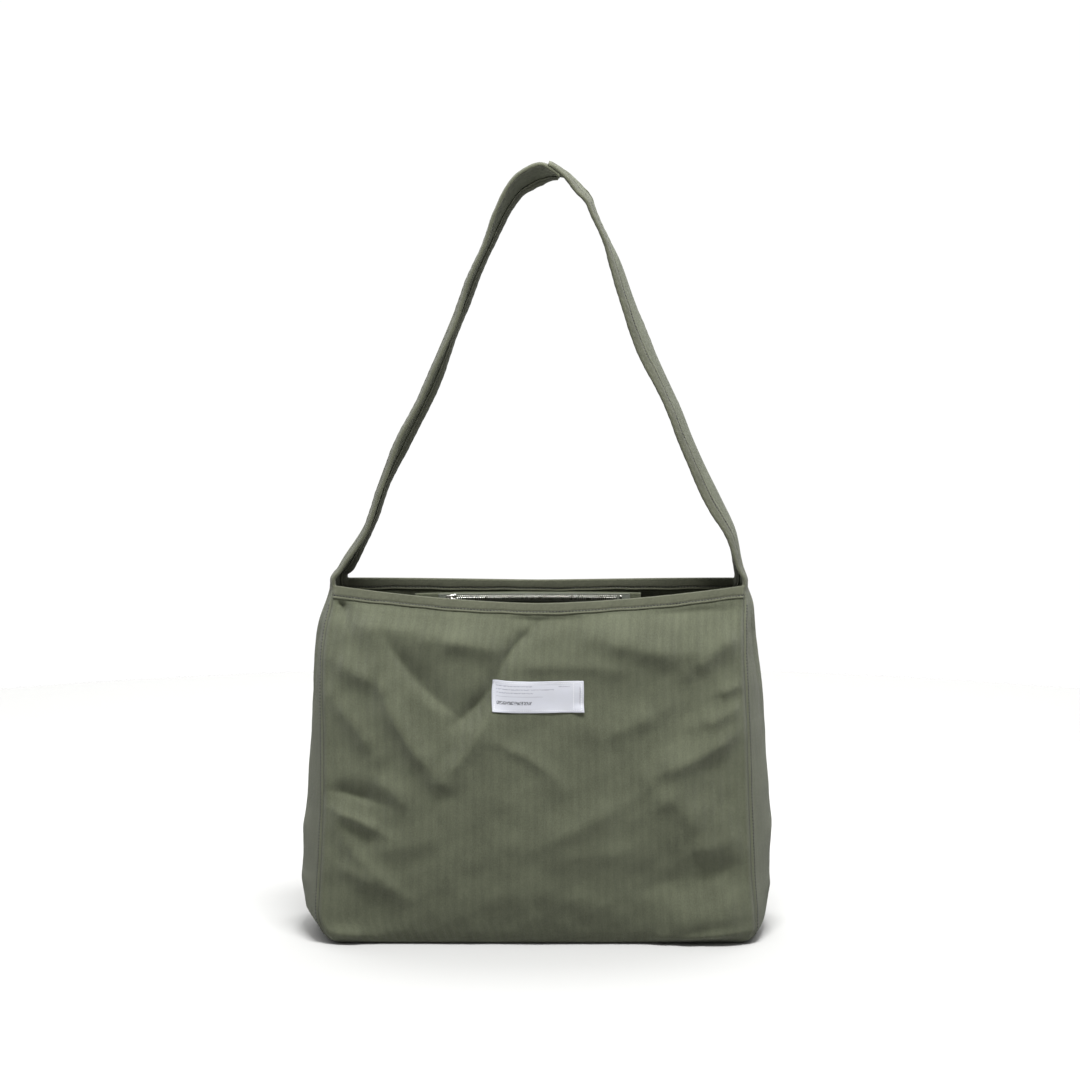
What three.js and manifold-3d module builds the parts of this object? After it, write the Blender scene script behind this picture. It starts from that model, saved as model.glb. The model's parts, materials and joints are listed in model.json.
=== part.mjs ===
import * as THREE from "three";
import { mergeVertices } from "three/addons/utils/BufferGeometryUtils.js";
import Module from "manifold-3d";

const wasm = await Module();
wasm.setup();

// Driving sizes in millimetres. X runs across the front, Y towards the back, Z up from the floor.
const bagWidth = 430; // front panel between its side seams
const bagHeight = 360; // floor to the rim at its corners
const bagDepth = 140; // front seam to back seam, low down
const frontSag = 12; // fall of the front rim at its middle
const backSag = 6; // fall of the back rim at its middle
const uprightFrom = 0.84; // share of the height where the back wall begins to turn upright
const uprightFull = 0.95; // share of the height from which it stands upright to its rim
const strapRise = 424; // rim corners to the top of the strap
const strapWide = 62; // width of the strap laid flat
const lapLong = 14; // overlap of the two strap ends
const wall = 2; // cloth of the bag and strap
const tapeWide = 11; // edge binding, as seen on one side
const tapeThick = 0.8; // one layer of the binding
const seamGap = 0.3; // clearance where pieces meet

const labelWide = 93;
const labelTall = 34;
const labelThick = 0.8;
const labelMiddleX = 4.5;
const labelDrop = 103; // rim corners to the label's middle
const labelMiddleUp = bagHeight - labelDrop;

const pocketLeft = -130; // inner pocket, side edges
const pocketRight = 105;
const pocketDrop = 17.6; // rim corners to the pocket's top edge
const pocketTop = bagHeight - pocketDrop;
const pocketTall = 164.4;
const pocketWall = 1.2;
const pocketPuff = 2.6; // slack of the pocket's front over the panel behind it

const zipLeft = -98; // left end of the slider
const zipRight = 86; // right end of the chain
const zipDrop = 5.4; // pocket's top edge to the middle of the chain
const zipUp = pocketTop - zipDrop;
const zipTapeTall = 9;
const zipTapeThick = 0.6;
const chainTall = 4.4;
const chainThick = 2;
const sliderLong = 10.5;
const sliderTall = 9;
const sliderThick = 3.6;
const stopLong = 3;
const bridgeBar = 1.5; // diameter of the bar that the pull hangs on
const bridgeOut = 2.4; // bar's middle from the slider's face
const pullLong = 27;
const pullWide = 6.4;
const pullThick = 1.3;
const eyeLong = 3.6; // pull's eye along the bar
const eyeWall = 1;

// Counts of cells in the cloth grids.
const cellsAcross = 24;
const cellsUp = 15;
const cellsDeep = 6;

const olive = 0x6b6e5c;
const oliveDark = 0x5c5f4d;
const silver = 0xb4b4ae;

const halfWidth = bagWidth / 2;
const halfDepth = bagDepth / 2;
const half = wall / 2;
const floorRow = half / bagHeight;

// Upright sections, from the floor to the rim. up is a share of the height, the seams and crests are shares
// of the half width, the depths and puffs shares of the half depth.
const sections = [
  { up: floorRow, leftSeam: 0.953, leftCrest: 0.963, rightSeam: 0.963, rightCrest: 0.98, depth: 0.99, puff: 0.02 },
  { up: 0.011, leftSeam: 0.991, leftCrest: 1.03, rightSeam: 0.988, rightCrest: 1.03, depth: 1.04, puff: 0.03 },
  { up: 0.025, leftSeam: 1.014, leftCrest: 1.07, rightSeam: 1.005, rightCrest: 1.06, depth: 1.07, puff: 0.05 },
  { up: 0.044, leftSeam: 1.035, leftCrest: 1.107, rightSeam: 1.016, rightCrest: 1.08, depth: 1.08, puff: 0.08 },
  { up: 0.083, leftSeam: 1.051, leftCrest: 1.135, rightSeam: 1.014, rightCrest: 1.092, depth: 1.08, puff: 0.13 },
  { up: 0.175, leftSeam: 1.037, leftCrest: 1.137, rightSeam: 1.0, rightCrest: 1.1, depth: 1.06, puff: 0.22 },
  { up: 0.306, leftSeam: 1.025, leftCrest: 1.122, rightSeam: 0.989, rightCrest: 1.1, depth: 1.03, puff: 0.29 },
  { up: 0.444, leftSeam: 1.017, leftCrest: 1.11, rightSeam: 0.98, rightCrest: 1.092, depth: 0.99, puff: 0.33 },
  { up: 0.572, leftSeam: 1.017, leftCrest: 1.1, rightSeam: 0.974, rightCrest: 1.077, depth: 0.94, puff: 0.35 },
  { up: 0.719, leftSeam: 1.023, leftCrest: 1.087, rightSeam: 0.963, rightCrest: 1.062, depth: 0.87, puff: 0.37 },
  { up: 0.811, leftSeam: 1.023, leftCrest: 1.077, rightSeam: 0.957, rightCrest: 1.042, depth: 0.79, puff: 0.39 },
  { up: 0.889, leftSeam: 1.008, leftCrest: 1.063, rightSeam: 0.957, rightCrest: 1.029, depth: 0.68, puff: 0.42 },
  { up: 0.944, leftSeam: 0.984, leftCrest: 1.03, rightSeam: 0.962, rightCrest: 1.018, depth: 0.55, puff: 0.44 },
  { up: 1, leftSeam: 0.971, leftCrest: 0.99, rightSeam: 0.963, rightCrest: 0.981, depth: 0.43, puff: 0.43 },
];

// Inward shift of the back seams against the front ones, as a share of the half width.
const backShift = [
  { up: 0, left: 0, right: 0 },
  { up: 0.7, left: 0, right: 0 },
  { up: 0.9, left: 0.018, right: 0.008 },
  { up: 1, left: 0.044, right: 0.024 },
];

// Crest of the strap from the left rim corner over the apex to the right one. across is a share of the half
// width, rise a share of the strap's rise, curl of the strap's width; turn is in degrees and brings the
// front edge towards the inside of the loop.
const strapPath = [
  { across: -0.99, rise: 0, curl: 0.1, turn: -9 },
  { across: -0.934, rise: 0.055, curl: 0.11, turn: -9 },
  { across: -0.827, rise: 0.14, curl: 0.11, turn: -4 },
  { across: -0.763, rise: 0.235, curl: 0.16, turn: 0 },
  { across: -0.675, rise: 0.343, curl: 0.22, turn: 2 },
  { across: -0.574, rise: 0.443, curl: 0.22, turn: 1 },
  { across: -0.466, rise: 0.57, curl: 0.22, turn: 0 },
  { across: -0.388, rise: 0.663, curl: 0.2, turn: 0 },
  { across: -0.33, rise: 0.74, curl: 0.17, turn: 0 },
  { across: -0.262, rise: 0.81, curl: 0.15, turn: -2 },
  { across: -0.198, rise: 0.892, curl: 0.17, turn: 0 },
  { across: -0.128, rise: 0.961, curl: 0.24, turn: 0 },
  { across: -0.07, rise: 0.987, curl: 0.3, turn: 0 },
  { across: -0.005, rise: 1, curl: 0.33, turn: 0 },
  { across: 0.055, rise: 0.993, curl: 0.33, turn: 0 },
  { across: 0.11, rise: 0.979, curl: 0.3, turn: 0 },
  { across: 0.187, rise: 0.951, curl: 0.25, turn: 2 },
  { across: 0.236, rise: 0.922, curl: 0.2, turn: 4 },
  { across: 0.262, rise: 0.888, curl: 0.18, turn: 6 },
  { across: 0.31, rise: 0.836, curl: 0.17, turn: 8 },
  { across: 0.37, rise: 0.775, curl: 0.17, turn: 9 },
  { across: 0.43, rise: 0.69, curl: 0.17, turn: 9 },
  { across: 0.48, rise: 0.625, curl: 0.18, turn: 10 },
  { across: 0.545, rise: 0.545, curl: 0.19, turn: 10 },
  { across: 0.66, rise: 0.42, curl: 0.2, turn: 10 },
  { across: 0.715, rise: 0.35, curl: 0.19, turn: 8 },
  { across: 0.785, rise: 0.273, curl: 0.17, turn: 6 },
  { across: 0.86, rise: 0.197, curl: 0.16, turn: 4 },
  { across: 0.925, rise: 0.127, curl: 0.14, turn: 2 },
  { across: 0.955, rise: 0.055, curl: 0.11, turn: -2 },
  { across: 0.981, rise: 0, curl: 0.09, turn: -4 },
];

// Soft folds in the cloth. Ends are shares of the half width and of the height, wide is a share of the half
// width and deep a share of the half depth; a minus depth is a groove.
const frontFolds = [
  { x0: -0.96, up0: 0.99, x1: -0.86, up1: 0.9, wide: 0.035, deep: -0.1 },
  { x0: -0.86, up0: 0.97, x1: -0.6, up1: 0.72, wide: 0.09, deep: 0.06 },
  { x0: -0.3, up0: 0.95, x1: -0.02, up1: 0.8, wide: 0.06, deep: -0.07 },
  { x0: 0.35, up0: 0.95, x1: 0.05, up1: 0.8, wide: 0.06, deep: -0.07 },
  { x0: 0.42, up0: 0.86, x1: 0.94, up1: 0.93, wide: 0.08, deep: 0.1 },
  { x0: 0.45, up0: 0.74, x1: 0.93, up1: 0.84, wide: 0.05, deep: -0.08 },
  { x0: 0.9, up0: 0.62, x1: 0.3, up1: 0.3, wide: 0.1, deep: 0.06 },
  { x0: -0.9, up0: 0.6, x1: -0.35, up1: 0.25, wide: 0.12, deep: 0.05 },
  { x0: 0.5, up0: 0.06, x1: 0.98, up1: 0.09, wide: 0.03, deep: -0.07 },
  { x0: -0.98, up0: 0.42, x1: -0.72, up1: 0.36, wide: 0.035, deep: -0.06 },
  { x0: -0.98, up0: 0.12, x1: -0.75, up1: 0.05, wide: 0.05, deep: -0.06 },
];
const backFolds = [
  { x0: -0.9, up0: 0.35, x1: -0.3, up1: 0.2, wide: 0.1, deep: 0.06 },
  { x0: 0.88, up0: 0.4, x1: 0.3, up1: 0.15, wide: 0.1, deep: 0.06 },
  { x0: -0.2, up0: 0.22, x1: 0.35, up1: 0.34, wide: 0.08, deep: -0.05 },
];
// Folds of the side walls: along is the place from the front seam (-1) to the back seam (1).
const leftFolds = [
  { x0: -0.45, up0: 0.95, x1: -0.25, up1: 0.62, wide: 0.2, deep: -0.07 },
  { x0: 0.35, up0: 0.93, x1: 0.2, up1: 0.55, wide: 0.22, deep: -0.06 },
  { x0: -0.5, up0: 0.3, x1: 0.4, up1: 0.18, wide: 0.25, deep: 0.04 },
];
const rightFolds = [
  { x0: -0.5, up0: 0.93, x1: -0.3, up1: 0.66, wide: 0.18, deep: -0.09 },
  { x0: 0.3, up0: 0.95, x1: 0.25, up1: 0.6, wide: 0.22, deep: -0.07 },
  { x0: -0.4, up0: 0.25, x1: 0.5, up1: 0.35, wide: 0.25, deep: 0.04 },
];

const vec = (x, y, z) => new THREE.Vector3(x, y, z);
const lerp = (a, b, k) => a + (b - a) * k;
const clamp = (x, lo, hi) => Math.min(hi, Math.max(lo, x));

function ease(a, b, x) {
  const k = clamp((x - a) / (b - a), 0, 1);
  return k * k * (3 - 2 * k);
}

// Smooth curve through a column of a table, without overshoot. key is the column that it runs along.
function column(rows, key, name, at) {
  const last = rows.length - 1;
  const x = clamp(at, rows[0][key], rows[last][key]);
  let i = 0;
  while (i < last - 1 && rows[i + 1][key] < x) i++;
  const step = (k) => rows[k + 1][key] - rows[k][key];
  const rise = (k) => (rows[k + 1][name] - rows[k][name]) / step(k);
  const slope = (k) => {
    if (k === 0) return rise(0);
    if (k === last) return rise(last - 1);
    const a = rise(k - 1);
    const b = rise(k);
    return a * b <= 0 ? 0 : (2 * a * b) / (a + b);
  };
  const w = step(i);
  const t = (x - rows[i][key]) / w;
  const a = rows[i][name];
  const b = rows[i + 1][name];
  const h1 = t * t * (3 - 2 * t);
  return a + (b - a) * h1 + w * (slope(i) * t * (1 - t) * (1 - t) - slope(i + 1) * t * t * (1 - t));
}

// Height of the folds at a place, in shares of the half depth.
function foldsAt(folds, x, up, tall) {
  let sum = 0;
  for (const f of folds) {
    const dx = f.x1 - f.x0;
    const dz = (f.up1 - f.up0) * tall;
    const px = x - f.x0;
    const pz = (up - f.up0) * tall;
    const k = clamp((px * dx + pz * dz) / (dx * dx + dz * dz), 0, 1);
    const off = Math.hypot(px - dx * k, pz - dz * k) / f.wide;
    sum += f.deep * Math.exp(-off * off) * (0.45 + 0.55 * Math.sin(Math.PI * clamp(k, 0.08, 0.92)));
  }
  return sum;
}

// Walls of the bag. Each function gives a point of the cloth's middle surface.
const tallShare = bagHeight / halfWidth;
const rimFree = 1 - tapeWide / bagHeight;

function seamPoint(side, back, up) {
  const name = side < 0 ? "left" : "right";
  const shift = back > 0 ? column(backShift, "up", name, up) : 0;
  const x = side * halfWidth * (column(sections, "up", name + "Seam", up) - shift);
  const turned = back > 0 ? up + (1 - up) * ease(uprightFrom, uprightFull, up) : up;
  return vec(x, back * halfDepth * column(sections, "up", "depth", turned), up * bagHeight);
}

function panelPoint(back, u, up) {
  const left = seamPoint(-1, back, up);
  const right = seamPoint(1, back, up);
  const bow = 1 - Math.abs(u) ** 2.3;
  const puff = halfDepth * column(sections, "up", "puff", up) * bow;
  const sag = (back > 0 ? backSag : frontSag) * (1 - Math.abs(u) ** 1.5) * up * up;
  const x = lerp(left.x, right.x, (u + 1) / 2);
  const calm = (1 - ease(0.9, rimFree, up)) * ease(0, 0.06, up) * (1 - Math.abs(u) ** 12);
  const folds = back > 0 ? backFolds : frontFolds;
  const fold = halfDepth * foldsAt(folds, x / halfWidth, up, tallShare) * calm;
  return vec(x, left.y + back * (puff + fold), left.z - sag);
}
const frontPoint = (u, up) => panelPoint(-1, u, up);
const backPoint = (u, up) => panelPoint(1, u, up);

function gussetPoint(side, s, up) {
  const front = seamPoint(side, -1, up);
  const back = seamPoint(side, 1, up);
  const k = (s + 1) / 2;
  const crest = side * halfWidth * column(sections, "up", (side < 0 ? "left" : "right") + "Crest", up);
  const out = Math.abs(crest - (front.x + back.x) / 2) * (1 - s * s);
  const calm = (1 - ease(0.86, 0.98, up)) * ease(0.02, 0.14, up) * (1 - s ** 6);
  const folds = side < 0 ? leftFolds : rightFolds;
  const fold = halfDepth * foldsAt(folds, s, up, bagHeight / halfDepth) * calm;
  return vec(lerp(front.x, back.x, k) + side * (out + fold), lerp(front.y, back.y, k), front.z);
}
const leftPoint = (s, up) => gussetPoint(-1, s, up);
const rightPoint = (s, up) => gussetPoint(1, s, up);

function basePoint(u, s) {
  const k = (u + 1) / 2;
  const m = (s + 1) / 2;
  const edge = (p, name) => p[name];
  const out = vec(0, 0, half);
  for (const name of ["x", "y"]) {
    const ruled =
      lerp(edge(leftPoint(s, floorRow), name), edge(rightPoint(s, floorRow), name), k) +
      lerp(edge(frontPoint(u, floorRow), name), edge(backPoint(u, floorRow), name), m);
    const corners = lerp(
      lerp(edge(frontPoint(-1, floorRow), name), edge(frontPoint(1, floorRow), name), k),
      lerp(edge(backPoint(-1, floorRow), name), edge(backPoint(1, floorRow), name), k),
      m,
    );
    out[name] = ruled - corners;
  }
  return out;
}

// Unit normal of a surface at a place inside its range, turned to the side that out points to.
function normalAt(surface, a, b, out, loA, hiA, loB, hiB) {
  const e = 0.004;
  const da = surface(clamp(a + e, loA, hiA), b).sub(surface(clamp(a - e, loA, hiA), b));
  const db = surface(a, clamp(b + e, loB, hiB)).sub(surface(a, clamp(b - e, loB, hiB)));
  const n = da.cross(db).normalize();
  return n.dot(out) < 0 ? n.negate() : n;
}
const frontNormal = (u, up) => normalAt(frontPoint, u, up, vec(0, -1, 0), -1, 1, floorRow, 1);
const backNormal = (u, up) => normalAt(backPoint, u, up, vec(0, 1, 0), -1, 1, floorRow, 1);
const leftNormal = (s, up) => normalAt(leftPoint, s, up, vec(-1, 0, 0), -1, 1, floorRow, 1);
const rightNormal = (s, up) => normalAt(rightPoint, s, up, vec(1, 0, 0), -1, 1, floorRow, 1);
const down = vec(0, 0, -1);

// Offset that keeps half the wall from each of the surfaces that meet at a seam.
function mitre(...normals) {
  const sum = normals.reduce((a, n) => a.add(n), vec(0, 0, 0)).normalize();
  const last = normals[normals.length - 1];
  return sum.multiplyScalar(half / Math.max(0.35, sum.dot(last)));
}

// Closed body between two grids of points. The cells of the columns in turned are split the other way.
function bodyOf(outer, inner, turned = []) {
  const rows = outer.length;
  const cols = outer[0].length;
  const flat = [...outer.flat(), ...inner.flat()];
  const at = (layer, i, j) => layer * rows * cols + i * cols + j;
  const faces = [];
  const quad = (a, b, c, d) => faces.push(a, b, c, a, c, d);
  for (let i = 0; i < rows - 1; i++)
    for (let j = 0; j < cols - 1; j++) {
      const top = [at(0, i, j), at(0, i + 1, j), at(0, i + 1, j + 1), at(0, i, j + 1)];
      const low = [at(1, i, j), at(1, i, j + 1), at(1, i + 1, j + 1), at(1, i + 1, j)];
      if (turned.includes(j)) for (const cell of [top, low]) cell.push(cell.shift());
      quad(...top);
      quad(...low);
    }
  for (let j = 0; j < cols - 1; j++) {
    quad(at(0, 0, j), at(0, 0, j + 1), at(1, 0, j + 1), at(1, 0, j));
    quad(at(0, rows - 1, j + 1), at(0, rows - 1, j), at(1, rows - 1, j), at(1, rows - 1, j + 1));
  }
  for (let i = 0; i < rows - 1; i++) {
    quad(at(0, i + 1, 0), at(0, i, 0), at(1, i, 0), at(1, i + 1, 0));
    quad(at(0, i, cols - 1), at(0, i + 1, cols - 1), at(1, i + 1, cols - 1), at(1, i, cols - 1));
  }
  let volume = 0;
  for (let k = 0; k < faces.length; k += 3)
    volume += flat[faces[k]].dot(flat[faces[k + 1]].clone().cross(flat[faces[k + 2]]));
  if (volume < 0) {
    for (let k = 0; k < faces.length; k += 3) [faces[k], faces[k + 1]] = [faces[k + 1], faces[k]];
  }
  const geometry = new THREE.BufferGeometry();
  geometry.setAttribute("position", new THREE.Float32BufferAttribute(flat.flatMap((p) => [p.x, p.y, p.z]), 3));
  geometry.setIndex(faces);
  geometry.computeVertexNormals();
  return geometry;
}

// A wall of cloth: points of its middle surface, moved in at its sewn edges, with an offset at each point.
function wallBody(as, bs, point, offset, sewn) {
  const nearA = (i) => (i === 0 ? 1 : i === as.length - 1 ? -1 : 0);
  const nearB = (j) => (j === 0 ? 1 : j === bs.length - 1 ? -1 : 0);
  const outer = [];
  const inner = [];
  as.forEach((a, i) => {
    outer.push([]);
    inner.push([]);
    bs.forEach((b, j) => {
      const p = point(a, b);
      const moved = p.clone();
      if (nearA(i) && sewn.a)
        moved.add(point(as[i + nearA(i)], b).sub(p).normalize().multiplyScalar(seamGap * 0.75));
      if (nearB(j) && (nearB(j) > 0 ? sewn.bLow : sewn.bHigh))
        moved.add(point(a, bs[j + nearB(j)]).sub(p).normalize().multiplyScalar(seamGap * 0.75));
      const o = offset(a, b, nearA(i), nearB(j));
      outer[i].push(moved.clone().add(o));
      inner[i].push(moved.clone().sub(o));
    });
  });
  return { outer, inner };
}

const spread = (from, to, count) => Array.from({ length: count + 1 }, (_, i) => lerp(from, to, i / count));
const across = spread(-1, 1, cellsAcross);
const deep = spread(-1, 1, cellsDeep);
const upRows = [
  ...sections.slice(0, 4).map((row) => row.up),
  ...spread(sections[4].up, rimFree, cellsUp),
  1,
];

function panelBody(back) {
  const point = back > 0 ? backPoint : frontPoint;
  const normal = back > 0 ? backNormal : frontNormal;
  const offset = (u, up, a, b) => {
    const own = normal(u, up);
    if (!a && b <= 0) return own.multiplyScalar(half);
    const side = u < 0 ? leftNormal(back, up) : rightNormal(back, up);
    if (a && b > 0) return mitre(own, side, down);
    return a ? mitre(own, side) : mitre(own, down);
  };
  return wallBody(across, upRows, point, offset, { a: true, bLow: true, bHigh: false });
}

function gussetBody(side) {
  const point = side < 0 ? leftPoint : rightPoint;
  const normal = side < 0 ? leftNormal : rightNormal;
  const offset = (s, up, a, b) => {
    const own = normal(s, up);
    if (!a && b <= 0) return own.multiplyScalar(half);
    const panel = s < 0 ? frontNormal(side, up) : backNormal(side, up);
    if (a && b > 0) return mitre(panel, own, down);
    return a ? mitre(panel, own) : mitre(own, down);
  };
  return wallBody(deep, upRows, point, offset, { a: true, bLow: true, bHigh: true });
}

function baseBody() {
  const offset = (u, s, a, b) => {
    const panel = s < 0 ? frontNormal(u, floorRow) : backNormal(u, floorRow);
    const side = u < 0 ? leftNormal(s, floorRow) : rightNormal(s, floorRow);
    if (a && b) return mitre(panel, side, down);
    if (a) return mitre(side, down);
    return b ? mitre(panel, down) : down.clone().multiplyScalar(half);
  };
  return wallBody(across, deep, basePoint, offset, { a: true, bLow: true, bHigh: true });
}

// Folded tape over an edge of a wall. The wall's two grids give the edge row and the row a tape's width in.
function bindingBody(rows, high) {
  const outer = [];
  const inner = [];
  for (const row of rows) {
    const lift = row.edge.clone().sub(row.foot).normalize();
    const place = (base, n, away, rise) => base.clone().addScaledVector(n, away).addScaledVector(lift, rise);
    const near = half + seamGap;
    const far = near + tapeThick;
    const ends = [
      [row.foot, row.footNormal, 1, 0],
      [row.edge, row.edgeNormal, 1, 1],
      [row.edge, row.edgeNormal, -1, 1],
      [row.foot, row.footNormal, -1, 0],
    ];
    outer.push(ends.map(([p, n, sign, top]) => place(p, n, sign * far, top * (seamGap + tapeThick))));
    inner.push(ends.map(([p, n, sign, top]) => place(p, n, sign * near, top * seamGap)));
  }
  return bodyOf(outer, inner, high ? [2] : [0]);
}

function rimBinding(back) {
  const point = back > 0 ? backPoint : frontPoint;
  const normal = back > 0 ? backNormal : frontNormal;
  const ends = 4 / halfWidth;
  const us = across.map((u) => clamp(u, -1 + ends, 1 - ends));
  return bindingBody(
    us.map((u) => ({
      edge: point(u, 1),
      foot: point(u, rimFree),
      edgeNormal: normal(u, 1),
      footNormal: normal(u, rimFree),
    })),
    true,
  );
}

// Strap. A station's number runs from 0 at the left rim corner to 1 at the right one, in even steps of length.
const crestCurve = new THREE.CatmullRomCurve3(
  strapPath.map((row) => vec(row.across * halfWidth, 0, bagHeight + row.rise * strapRise)),
  false,
  "centripetal",
);
crestCurve.arcLengthDivisions = 600;
const strapLength = crestCurve.getLength();
const pathRows = strapPath.map((row, i) => ({ ...row, at: i / (strapPath.length - 1) }));

function strapPoint(t, s, raise) {
  const k = crestCurve.getUtoTmapping(clamp(t, 0, 1));
  const crest = crestCurve.getPoint(k);
  const along = crestCurve.getTangent(k);
  const inward = vec(along.z, 0, -along.x);
  const curl = column(pathRows, "at", "curl", k) * strapWide;
  const turn = THREE.MathUtils.degToRad(column(pathRows, "at", "turn", k));
  const radius = (strapWide * strapWide) / (8 * curl);
  const arc = (s * strapWide) / 2 / radius;
  const side = (radius + raise) * Math.sin(arc);
  const drop = radius - (radius + raise) * Math.cos(arc);
  const y = side * Math.cos(turn) + drop * Math.sin(turn);
  const depth = drop * Math.cos(turn) - side * Math.sin(turn);
  const swept = crest.addScaledVector(inward, depth).setY(y);
  const end = t < 0.5 ? gussetPoint(-1, s, 1) : gussetPoint(1, s, 1);
  const from = Math.min(t, 1 - t) * strapLength;
  const lifted = end.add(vec(0, 0, from));
  return lifted.lerp(swept, ease(0, 0.7 * strapWide, from));
}

const boundShare = 1 - (2 * tapeWide) / strapWide;
const strapColumns = [-1, -boundShare, -boundShare / 2, 0, boundShare / 2, boundShare, 1];
const apexRow = strapPath.findIndex((row) => row.rise === 1) / (strapPath.length - 1);
const apexAt = (() => {
  let lo = 0;
  let hi = 1;
  for (let i = 0; i < 40; i++) {
    const mid = (lo + hi) / 2;
    if (crestCurve.getUtoTmapping(mid) < apexRow) lo = mid;
    else hi = mid;
  }
  return lo;
})();
const lapFrom = apexAt + 9 / strapLength;
const lapTo = lapFrom + lapLong / strapLength;
const rimStart = seamGap / strapLength;
const boundStart = (3.5 * wall * 0.5 + seamGap) / strapLength;

function strapBody(side) {
  const stations =
    side < 0
      ? [rimStart, ...spread(boundStart, lapTo, 31)]
      : [...spread(lapFrom, lapTo, 2), ...spread(lapTo + 8 / strapLength, 1 - boundStart, 27), 1 - rimStart];
  const clear = wall + 2 * (seamGap + tapeThick) + 4 * seamGap;
  const lowered = (t) => ease(lapTo + 2 / strapLength, lapTo + 30 / strapLength, t);
  const raiseAt = (t) => (side < 0 ? 0 : clear * (1 - lowered(t)));
  const point = (t, s) => strapPoint(t, s, raiseAt(t));
  const outward = (t) => {
    const k = crestCurve.getUtoTmapping(t);
    const along = crestCurve.getTangent(k);
    return vec(-along.z, 0, along.x);
  };
  const last = stations[stations.length - 1];
  const normal = (t, s) => normalAt(point, t, s, outward(t), stations[0], last, -1, 1);
  const cloth = wallBody(stations, strapColumns, point, (t, s) => normal(t, s).multiplyScalar(half), {});
  const edged = (edge) => {
    const bound = side < 0 ? stations.slice(1) : stations.slice(0, -1);
    return bindingBody(
      bound.map((t) => {
        const foot = edge * boundShare;
        const places = { edge: point(t, edge), foot: point(t, foot) };
        return { ...places, edgeNormal: normal(t, edge), footNormal: normal(t, foot) };
      }),
      edge > 0,
    );
  };
  return { cloth: bodyOf(cloth.outer, cloth.inner), front: edged(-1), back: edged(1) };
}

// Places on the inner face of the back panel, by X and height; away is the distance from the panel's middle.
function onBack(x, z, away) {
  let u = x / halfWidth;
  let up = z / bagHeight;
  for (let i = 0; i < 6; i++) {
    const p = backPoint(u, up);
    u += (x - p.x) / halfWidth;
    up += (z - p.z) / bagHeight;
  }
  return backPoint(u, up).addScaledVector(backNormal(u, up), -away);
}

const pocketFoot = pocketTop - pocketTall;
const pocketBase = half + seamGap + pocketWall / 2 + 1.3;
const tapeFoot = zipUp - zipTapeTall / 2;

function pocketAway(x, z) {
  const a = clamp((x - pocketLeft) / (pocketRight - pocketLeft), 0, 1);
  const b = clamp((z - pocketFoot) / (tapeFoot - 0.12 * pocketTall - pocketFoot), 0, 1);
  return pocketBase + pocketPuff * Math.sin(Math.PI * a) ** 0.6 * Math.sin(Math.PI * b) ** 0.7;
}

function layerOnPocket(x0, x1, z0, z1, cellsX, cellsZ, away, thick) {
  const outer = [];
  const inner = [];
  for (const x of spread(x0, x1, cellsX)) {
    outer.push(spread(z0, z1, cellsZ).map((z) => onBack(x, z, away(x, z) + thick / 2)));
    inner.push(spread(z0, z1, cellsZ).map((z) => onBack(x, z, away(x, z) - thick / 2)));
  }
  return bodyOf(outer, inner);
}

const zipTapeAway = pocketBase + pocketWall / 2 + seamGap + zipTapeThick / 2;
const chainLeft = zipLeft + sliderLong + seamGap;
const chainRight = zipRight - stopLong - seamGap;

function chainBody(x0, x1, cells, tall, thick) {
  const z0 = zipUp - tall / 2;
  const z1 = zipUp + tall / 2;
  const away = () => zipTapeAway + zipTapeThick / 2 + seamGap + thick / 2;
  return layerOnPocket(x0, x1, z0, z1, cells, 1, away, thick);
}

// Slider and pull, made at the origin with the slider's face towards -Y, then set on the tape.
const sliderMiddle = zipLeft + sliderLong / 2;
const sliderSeat = onBack(sliderMiddle, zipUp, zipTapeAway + zipTapeThick / 2 + seamGap + 0.15);
const barOut = sliderThick + bridgeOut;
const along = onBack(sliderMiddle + 1, zipUp, 0).sub(onBack(sliderMiddle - 1, zipUp, 0)).normalize();
const upward = onBack(sliderMiddle, zipUp + 1, 0).sub(onBack(sliderMiddle, zipUp - 1, 0)).normalize();
const rearward = upward.clone().cross(along).normalize();
const sliderFrame = new THREE.Matrix4()
  .makeBasis(along, rearward, along.clone().cross(rearward))
  .setPosition(sliderSeat);
const barMiddle = vec(0, -barOut, 0).applyMatrix4(sliderFrame);
// The pull hangs plumb from the bar.
const pullFrame = new THREE.Matrix4().makeRotationZ(Math.atan2(along.y, along.x)).setPosition(barMiddle);

function solidOf(geometry) {
  const bare = geometry.clone();
  bare.deleteAttribute("normal");
  bare.deleteAttribute("uv");
  const merged = mergeVertices(bare, 1e-4);
  return new wasm.Manifold(
    new wasm.Mesh({
      numProp: 3,
      vertProperties: Float32Array.from(merged.attributes.position.array),
      triVerts: Uint32Array.from(merged.index.array),
    }),
  );
}

function geometryOf(solid) {
  const mesh = solid.getMesh();
  const geometry = new THREE.BufferGeometry();
  const points = [];
  for (let i = 0; i < mesh.vertProperties.length; i += mesh.numProp)
    points.push(mesh.vertProperties[i], mesh.vertProperties[i + 1], mesh.vertProperties[i + 2]);
  geometry.setAttribute("position", new THREE.Float32BufferAttribute(points, 3));
  geometry.setIndex(Array.from(mesh.triVerts));
  geometry.computeVertexNormals();
  return geometry;
}

function box(x0, x1, y0, y1, z0, z1) {
  const geometry = new THREE.BoxGeometry(x1 - x0, y1 - y0, z1 - z0);
  return solidOf(geometry.translate((x0 + x1) / 2, (y0 + y1) / 2, (z0 + z1) / 2));
}

function rod(radius, long, sides) {
  return solidOf(new THREE.CylinderGeometry(radius, radius, long, sides).rotateZ(Math.PI / 2));
}

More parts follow.
